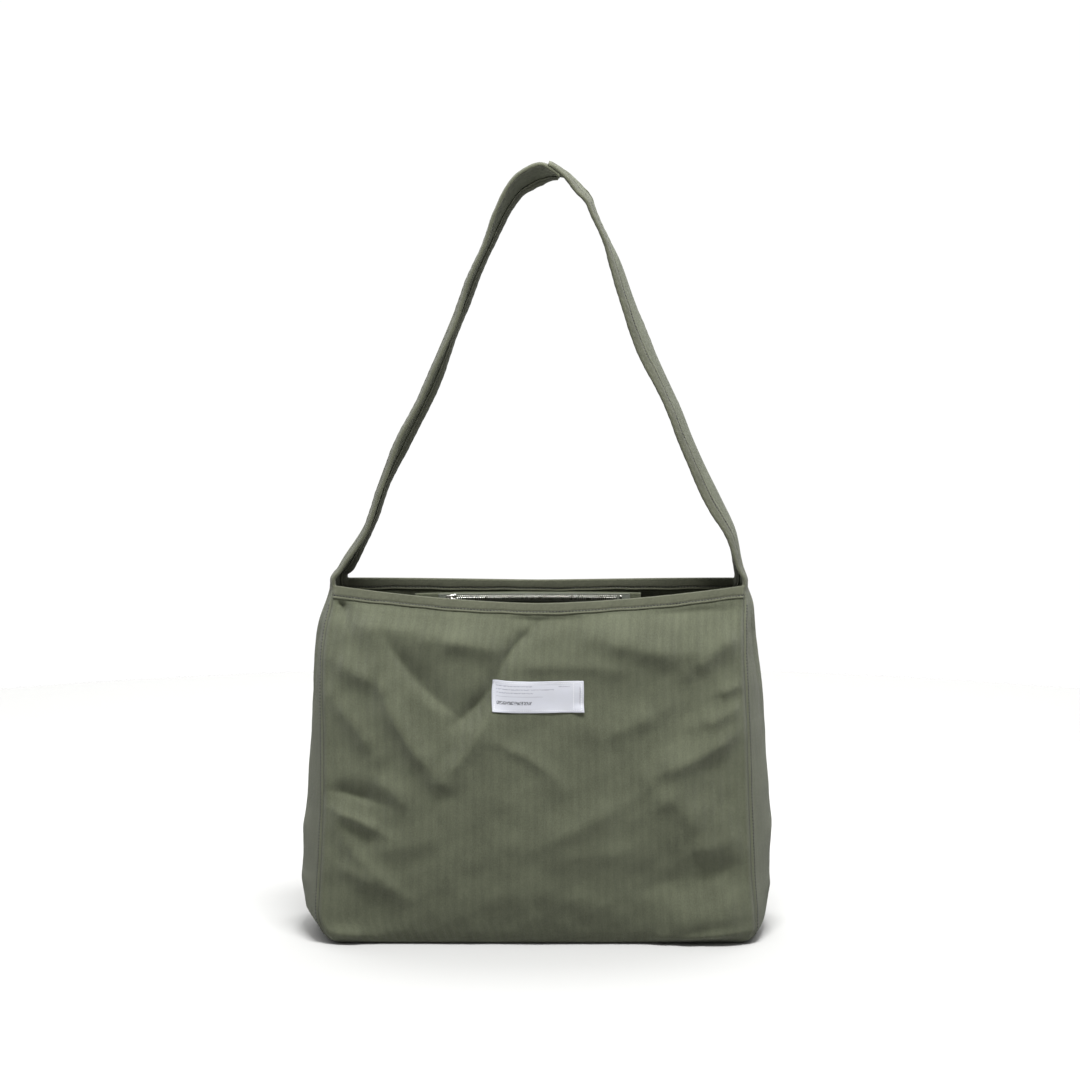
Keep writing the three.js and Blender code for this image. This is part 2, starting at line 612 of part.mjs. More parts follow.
function plate(outline, thick) {
  const shape = new THREE.Shape(outline.map(([x, z]) => new THREE.Vector2(x, z)));
  const geometry = new THREE.ExtrudeGeometry(shape, { depth: thick, bevelEnabled: false });
  return solidOf(geometry.rotateX(Math.PI / 2));
}

function sliderBody() {
  const a = sliderLong / 2;
  const b = sliderTall / 2;
  const nose = 0.62 * b;
  const plan = [[-a, -nose], [-a * 0.3, -b], [a * 0.7, -b], [a, -nose]];
  plan.push([a, nose], [a * 0.7, b], [-a * 0.3, b], [-a, nose]);
  const reach = barOut + bridgeBar / 2;
  const foot = 1.5;
  const leg = (x) => box(x - foot / 2, x + foot / 2, -reach, -sliderThick + 0.4, -foot / 2, foot / 2);
  return plate(plan, sliderThick)
    .add(leg(-a + foot))
    .add(leg(a - foot))
    .add(rod(bridgeBar / 2, sliderLong - 2 * foot, 12).translate([0, -barOut, 0]));
}

function pullBody() {
  const hole = bridgeBar / 2 + 0.35;
  const eye = hole + eyeWall;
  const a = pullWide / 2;
  const low = -pullLong;
  const plan = [[-eyeLong / 2, 0], [-eyeLong / 2, -eye - 1], [-a, -eye - 4], [-a * 0.9, low + 2], [-a * 0.5, low]];
  const outline = [...plan, ...plan.map(([x, z]) => [-x, z]).reverse()];
  return plate(outline, pullThick)
    .translate([0, pullThick / 2, 0])
    .add(rod(eye, eyeLong, 16))
    .subtract(rod(hole, eyeLong + 1, 16));
}

// Label: a flat woven patch lying on the front panel.
function labelBody() {
  const outer = [];
  const inner = [];
  const away = half + seamGap + 0.25 + labelThick / 2;
  const u0 = (labelMiddleX - labelWide / 2) / halfWidth;
  const u1 = (labelMiddleX + labelWide / 2) / halfWidth;
  const up0 = (labelMiddleUp - labelTall / 2 + frontSag / 2) / bagHeight;
  const up1 = (labelMiddleUp + labelTall / 2 + frontSag / 2) / bagHeight;
  for (const u of spread(u0, u1, 12)) {
    outer.push([]);
    inner.push([]);
    for (const up of spread(up0, up1, 4)) {
      const p = frontPoint(u, up);
      const n = frontNormal(u, up);
      outer[outer.length - 1].push(p.clone().addScaledVector(n, away + labelThick / 2));
      inner[inner.length - 1].push(p.clone().addScaledVector(n, away - labelThick / 2));
    }
  }
  return bodyOf(outer, inner);
}

const bag = new THREE.Group();
bag.name = "shoulder_bag";

function put(name, geometry, color, roughness, metalness) {
  const mesh = new THREE.Mesh(geometry, new THREE.MeshStandardMaterial({ color, roughness, metalness }));
  mesh.name = name;
  bag.add(mesh);
  return mesh;
}

for (const [name, grids] of [
  ["front_panel", panelBody(-1)],
  ["back_panel", panelBody(1)],
  ["gusset_left", gussetBody(-1)],
  ["gusset_right", gussetBody(1)],
  ["base_panel", baseBody()],
])
  put(name, bodyOf(grids.outer, grids.inner), olive, 0.92, 0);

put("rim_binding_front", rimBinding(-1), oliveDark, 0.9, 0);
put("rim_binding_back", rimBinding(1), oliveDark, 0.9, 0);

for (const [name, side] of [["left", -1], ["right", 1]]) {
  const strap = strapBody(side);
  put("strap_" + name, strap.cloth, olive, 0.92, 0);
  put("strap_binding_" + name + "_front", strap.front, oliveDark, 0.9, 0);
  put("strap_binding_" + name + "_back", strap.back, oliveDark, 0.9, 0);
}

put(
  "pocket_panel",
  layerOnPocket(pocketLeft, pocketRight, pocketFoot, pocketTop, 12, 8, pocketAway, pocketWall),
  olive,
  0.92,
  0,
);
put(
  "zip_tape",
  layerOnPocket(zipLeft - 8, zipRight + 8, tapeFoot, tapeFoot + zipTapeTall, 14, 1, () => zipTapeAway, zipTapeThick),
  oliveDark,
  0.85,
  0,
);
put("zip_chain", chainBody(chainLeft, chainRight, 14, chainTall, chainThick), silver, 0.35, 1);
put("zip_stop", chainBody(zipRight - stopLong, zipRight, 1, chainTall + 0.8, chainThick + 0.6), silver, 0.35, 1);
put("zip_slider", geometryOf(sliderBody()).applyMatrix4(sliderFrame), silver, 0.3, 1);
put("zip_pull", geometryOf(pullBody()).applyMatrix4(pullFrame), silver, 0.3, 1);
put("label", labelBody(), 0xe9e7dc, 0.8, 0);

// The origin is on the floor, at the middle of the whole bag.
const extent = new THREE.Box3().setFromObject(bag);
const middle = extent.getCenter(vec(0, 0, 0));
for (const mesh of bag.children) mesh.geometry.translate(-middle.x, -middle.y, 0);

export default bag;
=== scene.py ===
import json
import math

import bmesh
import bpy
import numpy as np
from mathutils import Matrix, Vector


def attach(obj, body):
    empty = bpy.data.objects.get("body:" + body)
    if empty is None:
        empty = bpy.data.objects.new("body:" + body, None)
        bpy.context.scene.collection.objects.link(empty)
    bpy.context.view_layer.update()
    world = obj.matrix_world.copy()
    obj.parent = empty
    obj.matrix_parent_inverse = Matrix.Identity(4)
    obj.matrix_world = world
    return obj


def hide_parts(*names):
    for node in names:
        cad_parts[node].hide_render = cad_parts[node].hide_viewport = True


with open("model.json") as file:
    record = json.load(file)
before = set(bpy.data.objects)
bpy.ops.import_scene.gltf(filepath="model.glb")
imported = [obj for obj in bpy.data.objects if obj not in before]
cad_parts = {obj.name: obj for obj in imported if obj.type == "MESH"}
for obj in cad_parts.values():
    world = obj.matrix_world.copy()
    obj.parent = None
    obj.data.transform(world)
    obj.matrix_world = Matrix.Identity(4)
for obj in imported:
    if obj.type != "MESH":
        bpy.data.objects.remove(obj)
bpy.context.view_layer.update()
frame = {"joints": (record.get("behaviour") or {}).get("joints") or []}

mm = 0.001  # sizes below are in millimetres, Blender's are in metres


def table(columns, rows):
    return [dict(zip(columns.split(), row)) for row in rows]


# The whole bag, in millimetres. X to the right, Y to the back, Z up, with the front wall's middle at X = 0
# until a finished mesh is shifted onto the middle of the footprint.
bag = {
    "width": 430,
    "height": 360,
    "depth": 140,
    "frontSag": 14,  # how far the middle of the front rim hangs
    "backSag": 6,
    "uprightFrom": 0.84,  # share of the height where the back wall begins to turn upright
    "uprightFull": 0.95,  # and where it stands upright, so that its inside is seen
    "strapRise": 424,
    "strapWide": 62,
    "lap": 14,
    "cloth": 1.7,  # thickness of the twill
    "middle": (3.7, 0.3),  # shift onto the middle of the footprint
    "seamDip": 3.0,  # how far the walls pull in at a sewn seam
    "seamWide": 2.6,
    "tapeWide": 11,  # edge tape seen on each side of an edge
    "creaseGain": 2.1,  # strength of the creases in the front and back walls
    "ripples": 1.3,  # strength of the slow unevenness in them
    "cornerBlend": 0.3,  # share of the strap's width over which the side wall turns into the strap
}
# The woven label stands up here because it calms the creases of the wall that it is sewn to.
label = {
    "wide": 92.5,
    "tall": 33.5,
    "middle": (4.6, 257.3),  # X and height of its middle, before the shift
    "sagged": 5.6,  # how far the wall hangs there, which the height makes up for
    "thick": 0.5,
    "away": 1.5,  # from the wall's middle to the label's middle
    "border": 2.4,  # from its edge to the stitches
    "lift": 2.2,  # the lower right corner stands off the cloth
}
halfWidth = bag["width"] / 2
halfDepth = bag["depth"] / 2
floorRow = 1 / bag["height"]
rimFree = 1 - bag["tapeWide"] / bag["height"]  # where the cloth comes out from under the rim's tape

# Upright sections of the walls: up is a share of the height, seams and crests of the half width,
# depth and puff of the half depth.
sections = table(
    "up leftSeam leftCrest rightSeam rightCrest depth puff",
    [
        (floorRow, 0.953, 0.963, 0.963, 0.980, 0.99, 0.02),
        (0.011, 0.985, 1.012, 0.988, 1.022, 1.04, 0.03),
        (0.025, 1.005, 1.045, 1.005, 1.050, 1.07, 0.05),
        (0.044, 1.025, 1.078, 1.016, 1.073, 1.08, 0.08),
        (0.083, 1.045, 1.122, 1.014, 1.085, 1.08, 0.13),
        (0.175, 1.037, 1.132, 1.000, 1.096, 1.06, 0.22),
        (0.306, 1.025, 1.118, 0.989, 1.096, 1.03, 0.29),
        (0.444, 1.017, 1.104, 0.980, 1.086, 0.99, 0.33),
        (0.572, 1.017, 1.090, 0.974, 1.066, 0.94, 0.35),
        (0.719, 1.023, 1.072, 0.963, 1.048, 0.87, 0.37),
        (0.811, 1.020, 1.060, 0.957, 1.026, 0.79, 0.39),
        (0.889, 1.004, 1.044, 0.957, 1.012, 0.68, 0.42),
        (0.944, 0.984, 1.014, 0.962, 1.004, 0.55, 0.44),
        (1.0, 0.971, 0.984, 0.963, 0.976, 0.43, 0.43),
    ],
)
# How much nearer to the middle the back seams are.
backShift = table("up left right", [(0, 0, 0), (0.7, 0, 0), (0.9, 0.018, 0.008), (1, 0.044, 0.024)])

# Crest of the strap from the left rim corner over the apex to the right one: across is a share of the half
# width, rise of the strap's rise, curl of its width, and turn is in degrees.
strapPath = table(
    "across rise curl turn",
    [
        (-0.990, 0.000, 0.09, -8),
        (-0.934, 0.055, 0.14, -9),
        (-0.827, 0.140, 0.09, -5),
        (-0.763, 0.235, 0.11, -7),
        (-0.675, 0.343, 0.13, -9),
        (-0.574, 0.443, 0.13, -9),
        (-0.466, 0.570, 0.12, -8),
        (-0.388, 0.663, 0.11, -7),
        (-0.330, 0.740, 0.10, -7),
        (-0.262, 0.810, 0.07, -6),
        (-0.198, 0.892, 0.08, -10),
        (-0.128, 0.952, 0.09, -18),
        (-0.070, 0.977, 0.10, -22),
        (-0.005, 0.991, 0.10, -22),
        (0.055, 0.990, 0.10, -12),
        (0.110, 0.979, 0.09, -3),
        (0.187, 0.951, 0.08, 3),
        (0.236, 0.922, 0.06, 3),
        (0.262, 0.888, 0.06, 3),
        (0.310, 0.836, 0.06, 4),
        (0.370, 0.775, 0.11, 6),
        (0.430, 0.690, 0.12, 8),
        (0.480, 0.625, 0.14, 9),
        (0.545, 0.545, 0.15, 9),
        (0.660, 0.420, 0.14, 9),
        (0.715, 0.350, 0.15, 9),
        (0.785, 0.273, 0.16, 8),
        (0.860, 0.197, 0.17, 6),
        (0.925, 0.127, 0.14, 4),
        (0.955, 0.055, 0.11, 0),
        (0.981, 0.000, 0.09, -4),
    ],
)

# Creases of a wall, in millimetres: from (x0, z0) to (x1, z1), bowed sideways by bend, with a width on the
# left-hand side of that way and one on the right-hand side, and a rise out of the wall (minus is a groove).
creaseColumns = "x0 z0 x1 z1 bend left right rise"
frontCreases = table(
    creaseColumns,
    [
        # below the rim
        (-190, 325, -114, 318, 0, 12, 17, 5.0),
        (-109, 312, -36, 302, 2, 15, 9, 5.0),
        (-34, 334, 51, 335, 0, 6, 8, -1.8),
        (96, 335, 200, 338, 0, 5, 6, -1.6),
        (54, 315, 146, 299, -3, 20, 7, 7.0),
        (150, 280, 204, 316, 2, 17, 6, 5.5),
        (178, 257, 207, 266, 0, 7, 6, 3.0),
        (160, 226, 206, 247, -2, 9, 7, 3.5),
        (-206, 358, -196, 330, 0, 4, 5, -4.0),
        # the V left of the label
        (-8, 322, -38, 287, -2, 7, 3, -3.5),
        (-38, 284, -79, 232, 4, 9, 4, -4.5),
        (-79, 234, -154, 311, 7, 6, 11, -4.0),
        (-164, 285, -99, 172, -10, 12, 9, 5.0),
        (-99, 172, -52, 236, -3, 10, 9, 4.0),
        (-44, 209, 12, 176, 4, 7, 6, 2.2),
        (-30, 283, 92, 281, 3, 11, 9, 2.4),
        # diagonals to the right seam
        (62, 214, 120, 240, 0, 12, 10, 2.5),
        (112, 176, 206, 224, -4, 15, 9, 6.0),
        (114, 165, 166, 117, 3, 25, 12, 5.2),
        (150, 98, 208, 116, -3, 15, 14, 3.8),
        (98, 62, 208, 82, -3, 14, 16, -2.8),
        (128, 13, 210, 34, 3, 24, 4, 6.0),
        (126, 5, 214, 16, 0, 5, 5, 2.5),
        # middle
        (-16, 101, 82, 149, -5, 13, 14, 2.6),
        (20, 92, 84, 98, 0, 10, 10, 1.2),
        (-60, 52, 60, 44, 4, 14, 14, 1.2),
        # left side
        (-208, 288, -162, 268, 0, 13, 10, 4.0),
        (-211, 252, -166, 196, 3, 13, 9, 4.0),
        (-168, 172, -130, 139, 4, 10, 9, 3.0),
        (-212, 158, -166, 148, 0, 7, 5, -3.0),
        (-212, 140, -160, 118, 2, 6, 7, 4.5),
        (-206, 124, -140, 54, -5, 10, 9, 3.2),
        (-166, 96, -110, 110, 0, 12, 10, 2.0),
        (-208, 84, -160, 62, 0, 10, 9, 2.4),
        (-216, 13, -176, 10, 0, 7, 6, 3.0),
    ],
)
backCreases = table(
    creaseColumns,
    [
        (-190, 322, -90, 312, 2, 12, 15, 5.0),
        (60, 312, 186, 322, 4, 14, 13, 6.0),
        (-200, 240, -110, 160, 6, 12, 10, 5.0),
        (-205, 120, -120, 90, 0, 9, 11, 4.5),
        (205, 260, 100, 150, -6, 12, 11, 5.5),
        (206, 140, 120, 70, 3, 10, 10, 4.5),
        (-60, 120, 70, 150, 6, 14, 12, 3.5),
        (-150, 30, 0, 24, 0, 8, 8, 2.5),
        (100, 26, 206, 44, 0, 7, 8, 3.0),
    ],
)
# Creases of the side walls, with x0 and x1 from the front seam (-70) to the back seam (70).
leftCreases = table(
    creaseColumns,
    [
        (-32, 345, -18, 225, 4, 7, 10, -4.5),
        (26, 340, 14, 200, -4, 10, 8, -4.0),
        (-4, 330, -4, 240, 0, 12, 12, 3.0),
        (-48, 120, 40, 70, 8, 12, 12, 3.5),
        (-50, 60, 44, 40, 4, 9, 9, 3.0),
    ],
)
rightCreases = table(
    creaseColumns,
    [
        (-34, 342, -22, 238, 4, 5, 9, -5.5),
        (-12, 345, -6, 210, -3, 9, 9, 3.5),
        (22, 342, 16, 210, -4, 9, 8, -4.5),
        (-40, 90, 46, 130, 6, 12, 12, 3.5),
        (-48, 52, 40, 34, 4, 9, 9, 3.0),
    ],
)


def column(rows, key, name, at):
    # smooth curve through a table's column, without overshoot
    xs = np.array([row[key] for row in rows], float)
    ys = np.array([row[name] for row in rows], float)
    at = np.clip(np.asarray(at, float), xs[0], xs[-1])
    step = np.diff(xs)
    rise = np.diff(ys) / step
    slope = np.concatenate([[rise[0]], np.zeros(len(xs) - 2), [rise[-1]]])
    a, b = rise[:-1], rise[1:]
    slope[1:-1] = np.where(a * b <= 0, 0, 2 * a * b / np.where(a + b == 0, 1, a + b))
    i = np.clip(np.searchsorted(xs, at, side="right") - 1, 0, len(xs) - 2)
    t = (at - xs[i]) / step[i]
    bow = slope[i] * t * (1 - t) ** 2 - slope[i + 1] * t * t * (1 - t)
    return ys[i] + (ys[i + 1] - ys[i]) * t * t * (3 - 2 * t) + step[i] * bow


def ease(a, b, x):
    k = np.clip((np.asarray(x, float) - a) / (b - a), 0, 1)
    return k * k * (3 - 2 * k)


def creaseField(creases, x, z, gain):
    total = np.zeros(np.broadcast(x, z).shape)
    for c in creases:
        dx, dz = c["x1"] - c["x0"], c["z1"] - c["z0"]
        long = math.hypot(dx, dz)
        px, pz = x - c["x0"], z - c["z0"]
        k = (px * dx + pz * dz) / long**2
        off = (px * -dz + pz * dx) / long  # left-hand side is plus
        off = off - c["bend"] * 4 * k * (1 - k)
        # the flank that faces down falls away more gently than the one that faces up
        down = "right" if (c["rise"] > 0) == (dx > 0) else "left"
        up = "left" if down == "right" else "right"
        widths = {up: 1.1 * c[up], down: max(1.4 * c[down], 0.9 * c[up])}
        wide = np.where(off > 0, widths["left"], widths["right"])
        beyond = np.maximum(0, np.maximum(-k, k - 1)) * long
        fade = (0.45 + 0.55 * ease(0, 0.3, k) * ease(0, 0.3, 1 - k)) * np.exp(-((beyond / 14) ** 2))
        crest = (np.abs(off / wide) ** 2 + 0.03) ** 0.75  # a sharp line along the top of the fold
        total = total + c["rise"] * gain * np.exp(-crest) * fade
    return total


def ripple(x, z, seed):
    # slow unevenness that no pressed cloth is without, about a millimetre
    total = 0
    for i in range(7):
        turn = seed * 1.7 + i * 2.399
        wave = 95 / (1 + 0.62 * i)
        phase = (x * math.cos(turn) + z * math.sin(turn)) / wave * 2 * math.pi
        total = total + np.sin(phase + seed + i * 1.3) * wave / 95
    return total * 0.42


def stack(x, y, z):
    x, y, z = np.broadcast_arrays(np.asarray(x, float), np.asarray(y, float), np.asarray(z, float))
    return np.stack([x, y, z], axis=-1)


def lengthAlong(points):
    return np.concatenate([[0], np.cumsum(np.linalg.norm(np.diff(points, axis=0), axis=1))])


def hermite(t, p0, m0, p1, m1):
    # the smooth curve between two places, with its way at each
    start = (2 * t**3 - 3 * t**2 + 1) * p0 + (t**3 - 2 * t**2 + t) * m0
    return start + (3 * t**2 - 2 * t**3) * p1 + (t**3 - t**2) * m1


def seamPoint(side, back, up):
    # X and Y of a side seam: side is -1 at the left and 1 at the right, back is -1 in front and 1 behind
    name = "left" if side < 0 else "right"
    shift = column(backShift, "up", name, up) if back > 0 else 0
    x = side * halfWidth * (column(sections, "up", name + "Seam", up) - shift)
    if back > 0:
        up = up + (1 - up) * ease(bag["uprightFrom"], bag["uprightFull"], up)
    return x, back * halfDepth * column(sections, "up", "depth", up)


def seamPull(away, up):
    # how far the cloth is drawn in beside a side seam; the seam's pull ends below the rim
    return bag["seamDip"] * np.exp(-((away / bag["seamWide"]) ** 2)) * (1 - ease(0.93, 1, up))


def panelPoint(back, u, up, creased=True):
    # front or back wall: u runs from the left seam (-1) to the right one (1), up from the floor to the rim
    leftX, leftY = seamPoint(-1, back, up)
    rightX, _ = seamPoint(1, back, up)
    x = leftX + (rightX - leftX) * (u + 1) / 2
    puff = halfDepth * column(sections, "up", "puff", up) * (1 - np.abs(u) ** 2.3)
    sag = bag["backSag"] if back > 0 else bag["frontSag"]
    z = up * bag["height"] - sag * (1 - np.abs(u) ** 1.5) * up**2
    out = 0
    if creased:
        calm = (1 - ease(rimFree - 0.02, rimFree, up)) * ease(0, 0.03, up)
        edge = 1 - np.abs(u) ** 30
        if back < 0:
            # the sewn-on label stiffens the cloth under it
            middleX, middleZ = label["middle"]
            edge = edge * (1 - 0.8 * np.exp(-(((x - middleX) / 52) ** 4) - ((z - middleZ) / 24) ** 4))
        creases = backCreases if back > 0 else frontCreases
        out = creaseField(creases, x, z, bag["creaseGain"]) * calm * edge
        out = out + bag["ripples"] * ripple(x, z, 3 + back) * calm * edge
        out = out - seamPull((1 - np.abs(u)) * halfWidth, up)
    return stack(x, leftY + back * (puff + out), z)


def gussetPoint(side, s, up, creased=True):
    # side wall: s runs from its front seam (-1) to its back one (1)
    frontX, frontY = seamPoint(side, -1, up)
    backX, backY = seamPoint(side, 1, up)
    k = (s + 1) / 2
    y = frontY + (backY - frontY) * k
    z = up * bag["height"] + 0 * s
    crest = side * halfWidth * column(sections, "up", "leftCrest" if side < 0 else "rightCrest", up)
    out = np.abs(crest - (frontX + backX) / 2) * (1 - s * s)
    if creased:
        y = y - seamPull((1 - np.abs(s)) * halfDepth, up) * np.sign(s)
        calm = (1 - ease(0.93, 1, up)) * ease(0.01, 0.1, up) * (1 - s**12)
        across = s * halfDepth
        creases = leftCreases if side < 0 else rightCreases
        out = out + (creaseField(creases, across, z, 0.7) + 0.5 * ripple(across, z, 8 + side)) * calm
    return stack(frontX + (backX - frontX) * k + side * out, y, z)


def crestSamples():
    # centripetal curve through the crest's points, sampled evenly enough to be measured along
    rows = [(row["across"] * halfWidth, bag["height"] + row["rise"] * bag["strapRise"]) for row in strapPath]
    points = [np.array(row) for row in rows]
    points = [2 * points[0] - points[1]] + points + [2 * points[-1] - points[-2]]
    places, marks = [], []
    for i in range(1, len(points) - 2):
        p0, p1, p2, p3 = points[i - 1 : i + 3]
        d0, d1, d2 = (max(np.linalg.norm(b - a) ** 0.5, 1e-4) for a, b in ((p0, p1), (p1, p2), (p2, p3)))
        m1 = ((p1 - p0) / d0 - (p2 - p0) / (d0 + d1) + (p2 - p1) / d1) * d1
        m2 = ((p2 - p1) / d1 - (p3 - p1) / (d1 + d2) + (p3 - p2) / d2) * d1
        for t in np.linspace(0, 1, 40, endpoint=i == len(points) - 3):
            places.append(hermite(t, p1, m1, p2, m2))
            marks.append((i - 1 + t) / (len(strapPath) - 1))
    return np.array(places), np.array(marks), lengthAlong(places)


crestPlaces, crestMarks, crestRun = crestSamples()
strapLength = crestRun[-1]
for i, row in enumerate(strapPath):
    row["at"] = i / (len(strapPath) - 1)
apexMark = max(strapPath, key=lambda row: row["rise"])["at"]
apexAt = float(np.interp(apexMark, crestMarks, crestRun)) / strapLength
lapFrom = apexAt + 9 / strapLength  # the strap's ends lap just right of its highest place
lapTo = lapFrom + bag["lap"] / strapLength


def crestAt(run):
    return [np.interp(run, crestRun, crestPlaces[:, i]) for i in (0, 1)]


def strapPoint(t, s, raised=0.0):
    # t runs along the strap from the left rim corner (0) to the right one (1), s from front edge to back edge
    t, s, raised = np.broadcast_arrays(np.asarray(t, float), np.asarray(s, float), np.asarray(raised, float))
    run = np.clip(t, 0, 1) * strapLength
    x, z = crestAt(run)
    ax, az = (ahead - behind for ahead, behind in zip(crestAt(run + 2), crestAt(run - 2)))
    size = np.hypot(ax, az)
    inX, inZ = az / size, -ax / size
    mark = np.interp(run, crestRun, crestMarks)
    curl = column(strapPath, "at", "curl", mark) * bag["strapWide"]
    turn = np.radians(column(strapPath, "at", "turn", mark))
    radius = bag["strapWide"] ** 2 / (8 * curl)
    arc = s * bag["strapWide"] / 2 / radius
    side = (radius + raised) * np.sin(arc)
    drop = radius - (radius + raised) * np.cos(arc)
    # the edges are never quite straight
    drop = drop + s**2 * 1.1 * np.sin(run / 31 + 1.3 * s) + 0.5 * np.sin(run / 13 + 2 * s) * np.abs(s)
    y = side * np.cos(turn) + drop * np.sin(turn)
    depth = drop * np.cos(turn) - side * np.sin(turn)
    swept = stack(x + inX * depth, y, z + inZ * depth)
    # each end rises straight from the side wall's rim and then turns into the strap
    rim = np.ones_like(s)
    end = np.where((t < 0.5)[..., None], gussetPoint(-1, s, rim, False), gussetPoint(1, s, rim, False))
    away = np.minimum(t, 1 - t) * strapLength
    lifted = end + stack(0 * away, 0 * away, away)
    k = ease(0, bag["cornerBlend"] * bag["strapWide"], away)[..., None]
    return lifted * (1 - k) + swept * k


def strapRaise(side, t):
    # the right half lies over the left one at the lap
    if side < 0:
        return 0 * np.asarray(t, float)
    return 3.6 * (1 - ease(lapTo + 2 / strapLength, lapTo + 30 / strapLength, t))


def bandPoint(side, s, run):
    # side wall and strap half in one strip: run is the length from the floor, in millimetres
    s, run = np.broadcast_arrays(np.asarray(s, float), np.asarray(run, float))
    low = gussetPoint(side, s, np.clip(run / bag["height"], floorRow, 1))
    t = np.clip((run - bag["height"]) / strapLength, 0, 1)
    t = t if side < 0 else 1 - t
    return np.where((run <= bag["height"])[..., None], low, strapPoint(t, s, strapRaise(side, t)))


def normals(place, a, b, out, step=0.002):
    # the way out of a surface, turned to the side that out names
    da = place(a + step, b) - place(a - step, b)
    db = place(a, b + step) - place(a, b - step)
    n = np.cross(da, db)
    n = n / np.maximum(np.linalg.norm(n, axis=-1, keepdims=True), 1e-9)
    flip = np.sign(np.sum(n * np.asarray(out, float), axis=-1, keepdims=True))
    return n * np.where(flip == 0, 1, flip)


# Materials: colours are sRGB hex values, and the scales of patterns on cloth are in millimetres.


def linear(hexColour):
    value = hexColour.lstrip("#")
    rgb = [int(value[i : i + 2], 16) / 255 for i in (0, 2, 4)]
    return (*[c / 12.92 if c <= 0.04045 else ((c + 0.055) / 1.055) ** 2.4 for c in rgb], 1)


def feed(tree, node, inputs):
    # an input is a plain value, a socket, or a node that gives its first live output
    for name, value in inputs.items():
        if isinstance(value, bpy.types.Node):
            value = next(socket for socket in value.outputs if socket.enabled)
        if isinstance(value, bpy.types.NodeSocket):
            tree.links.new(value, node.inputs[name])
        else:
            node.inputs[name].default_value = value


def addNode(tree, kind, inputs, **settings):
    # one node with its settings and links
    node = tree.nodes.new("ShaderNode" + kind)
    for name, value in settings.items():
        setattr(node, name, value)
    feed(tree, node, inputs)
    return node


def newMaterial(name):
    material = bpy.data.materials.new(name)
    material.use_nodes = True
    tree = material.node_tree
    shader = next(n for n in tree.nodes if n.type == "BSDF_PRINCIPLED")
    return material, tree, shader


# Cotton herringbone twill, piece-dyed olive and washed: matt, with a slight fuzz. The two halves of the
# herringbone are 4.4 mm wide each, measured in the photograph; the ribs inside them are 1.15 mm apart.
twillLook = {
    "light": "#595d4a",
    "dark": "#3f4232",
    "half": 4.4,
    "rib": 1.15,
    "columnContrast": 0.035,
    "bump": 0.22,
    "rubbed": 0.175,  # how much dye the ridges have lost
}
# Plain-woven cotton tape, folded over the edges and dyed with the bag: a little darker, paler at its folds.
tapeLook = {
    "light": "#4f5141",
    "dark": "#3a3c2e",
    "half": 3.0,
    "rib": 0.9,
    "columnContrast": 0.02,
    "bump": 0.14,
    "rubbed": 0.28,
}
# Polyester zip tape, close weave, flatter and greyer than the twill.
zipTapeLook = {
    "light": "#6d7068",
    "dark": "#565a50",
    "half": 1.5,
    "rib": 0.8,
    "columnContrast": 0.05,
    "bump": 0.08,
    "rubbed": 0.07,
}
# Unevenness of the cloth: the yarn's wandering, the patches left by washing and the fuzz.
clothNoise = table(
    "name scale detail rough",
    [
        ("wander", 0.09, 3.0, 0.5),
        ("patch", 0.03, 4.0, 0.6),
        ("lint", 0.55, 4.0, 0.75),
    ],
)


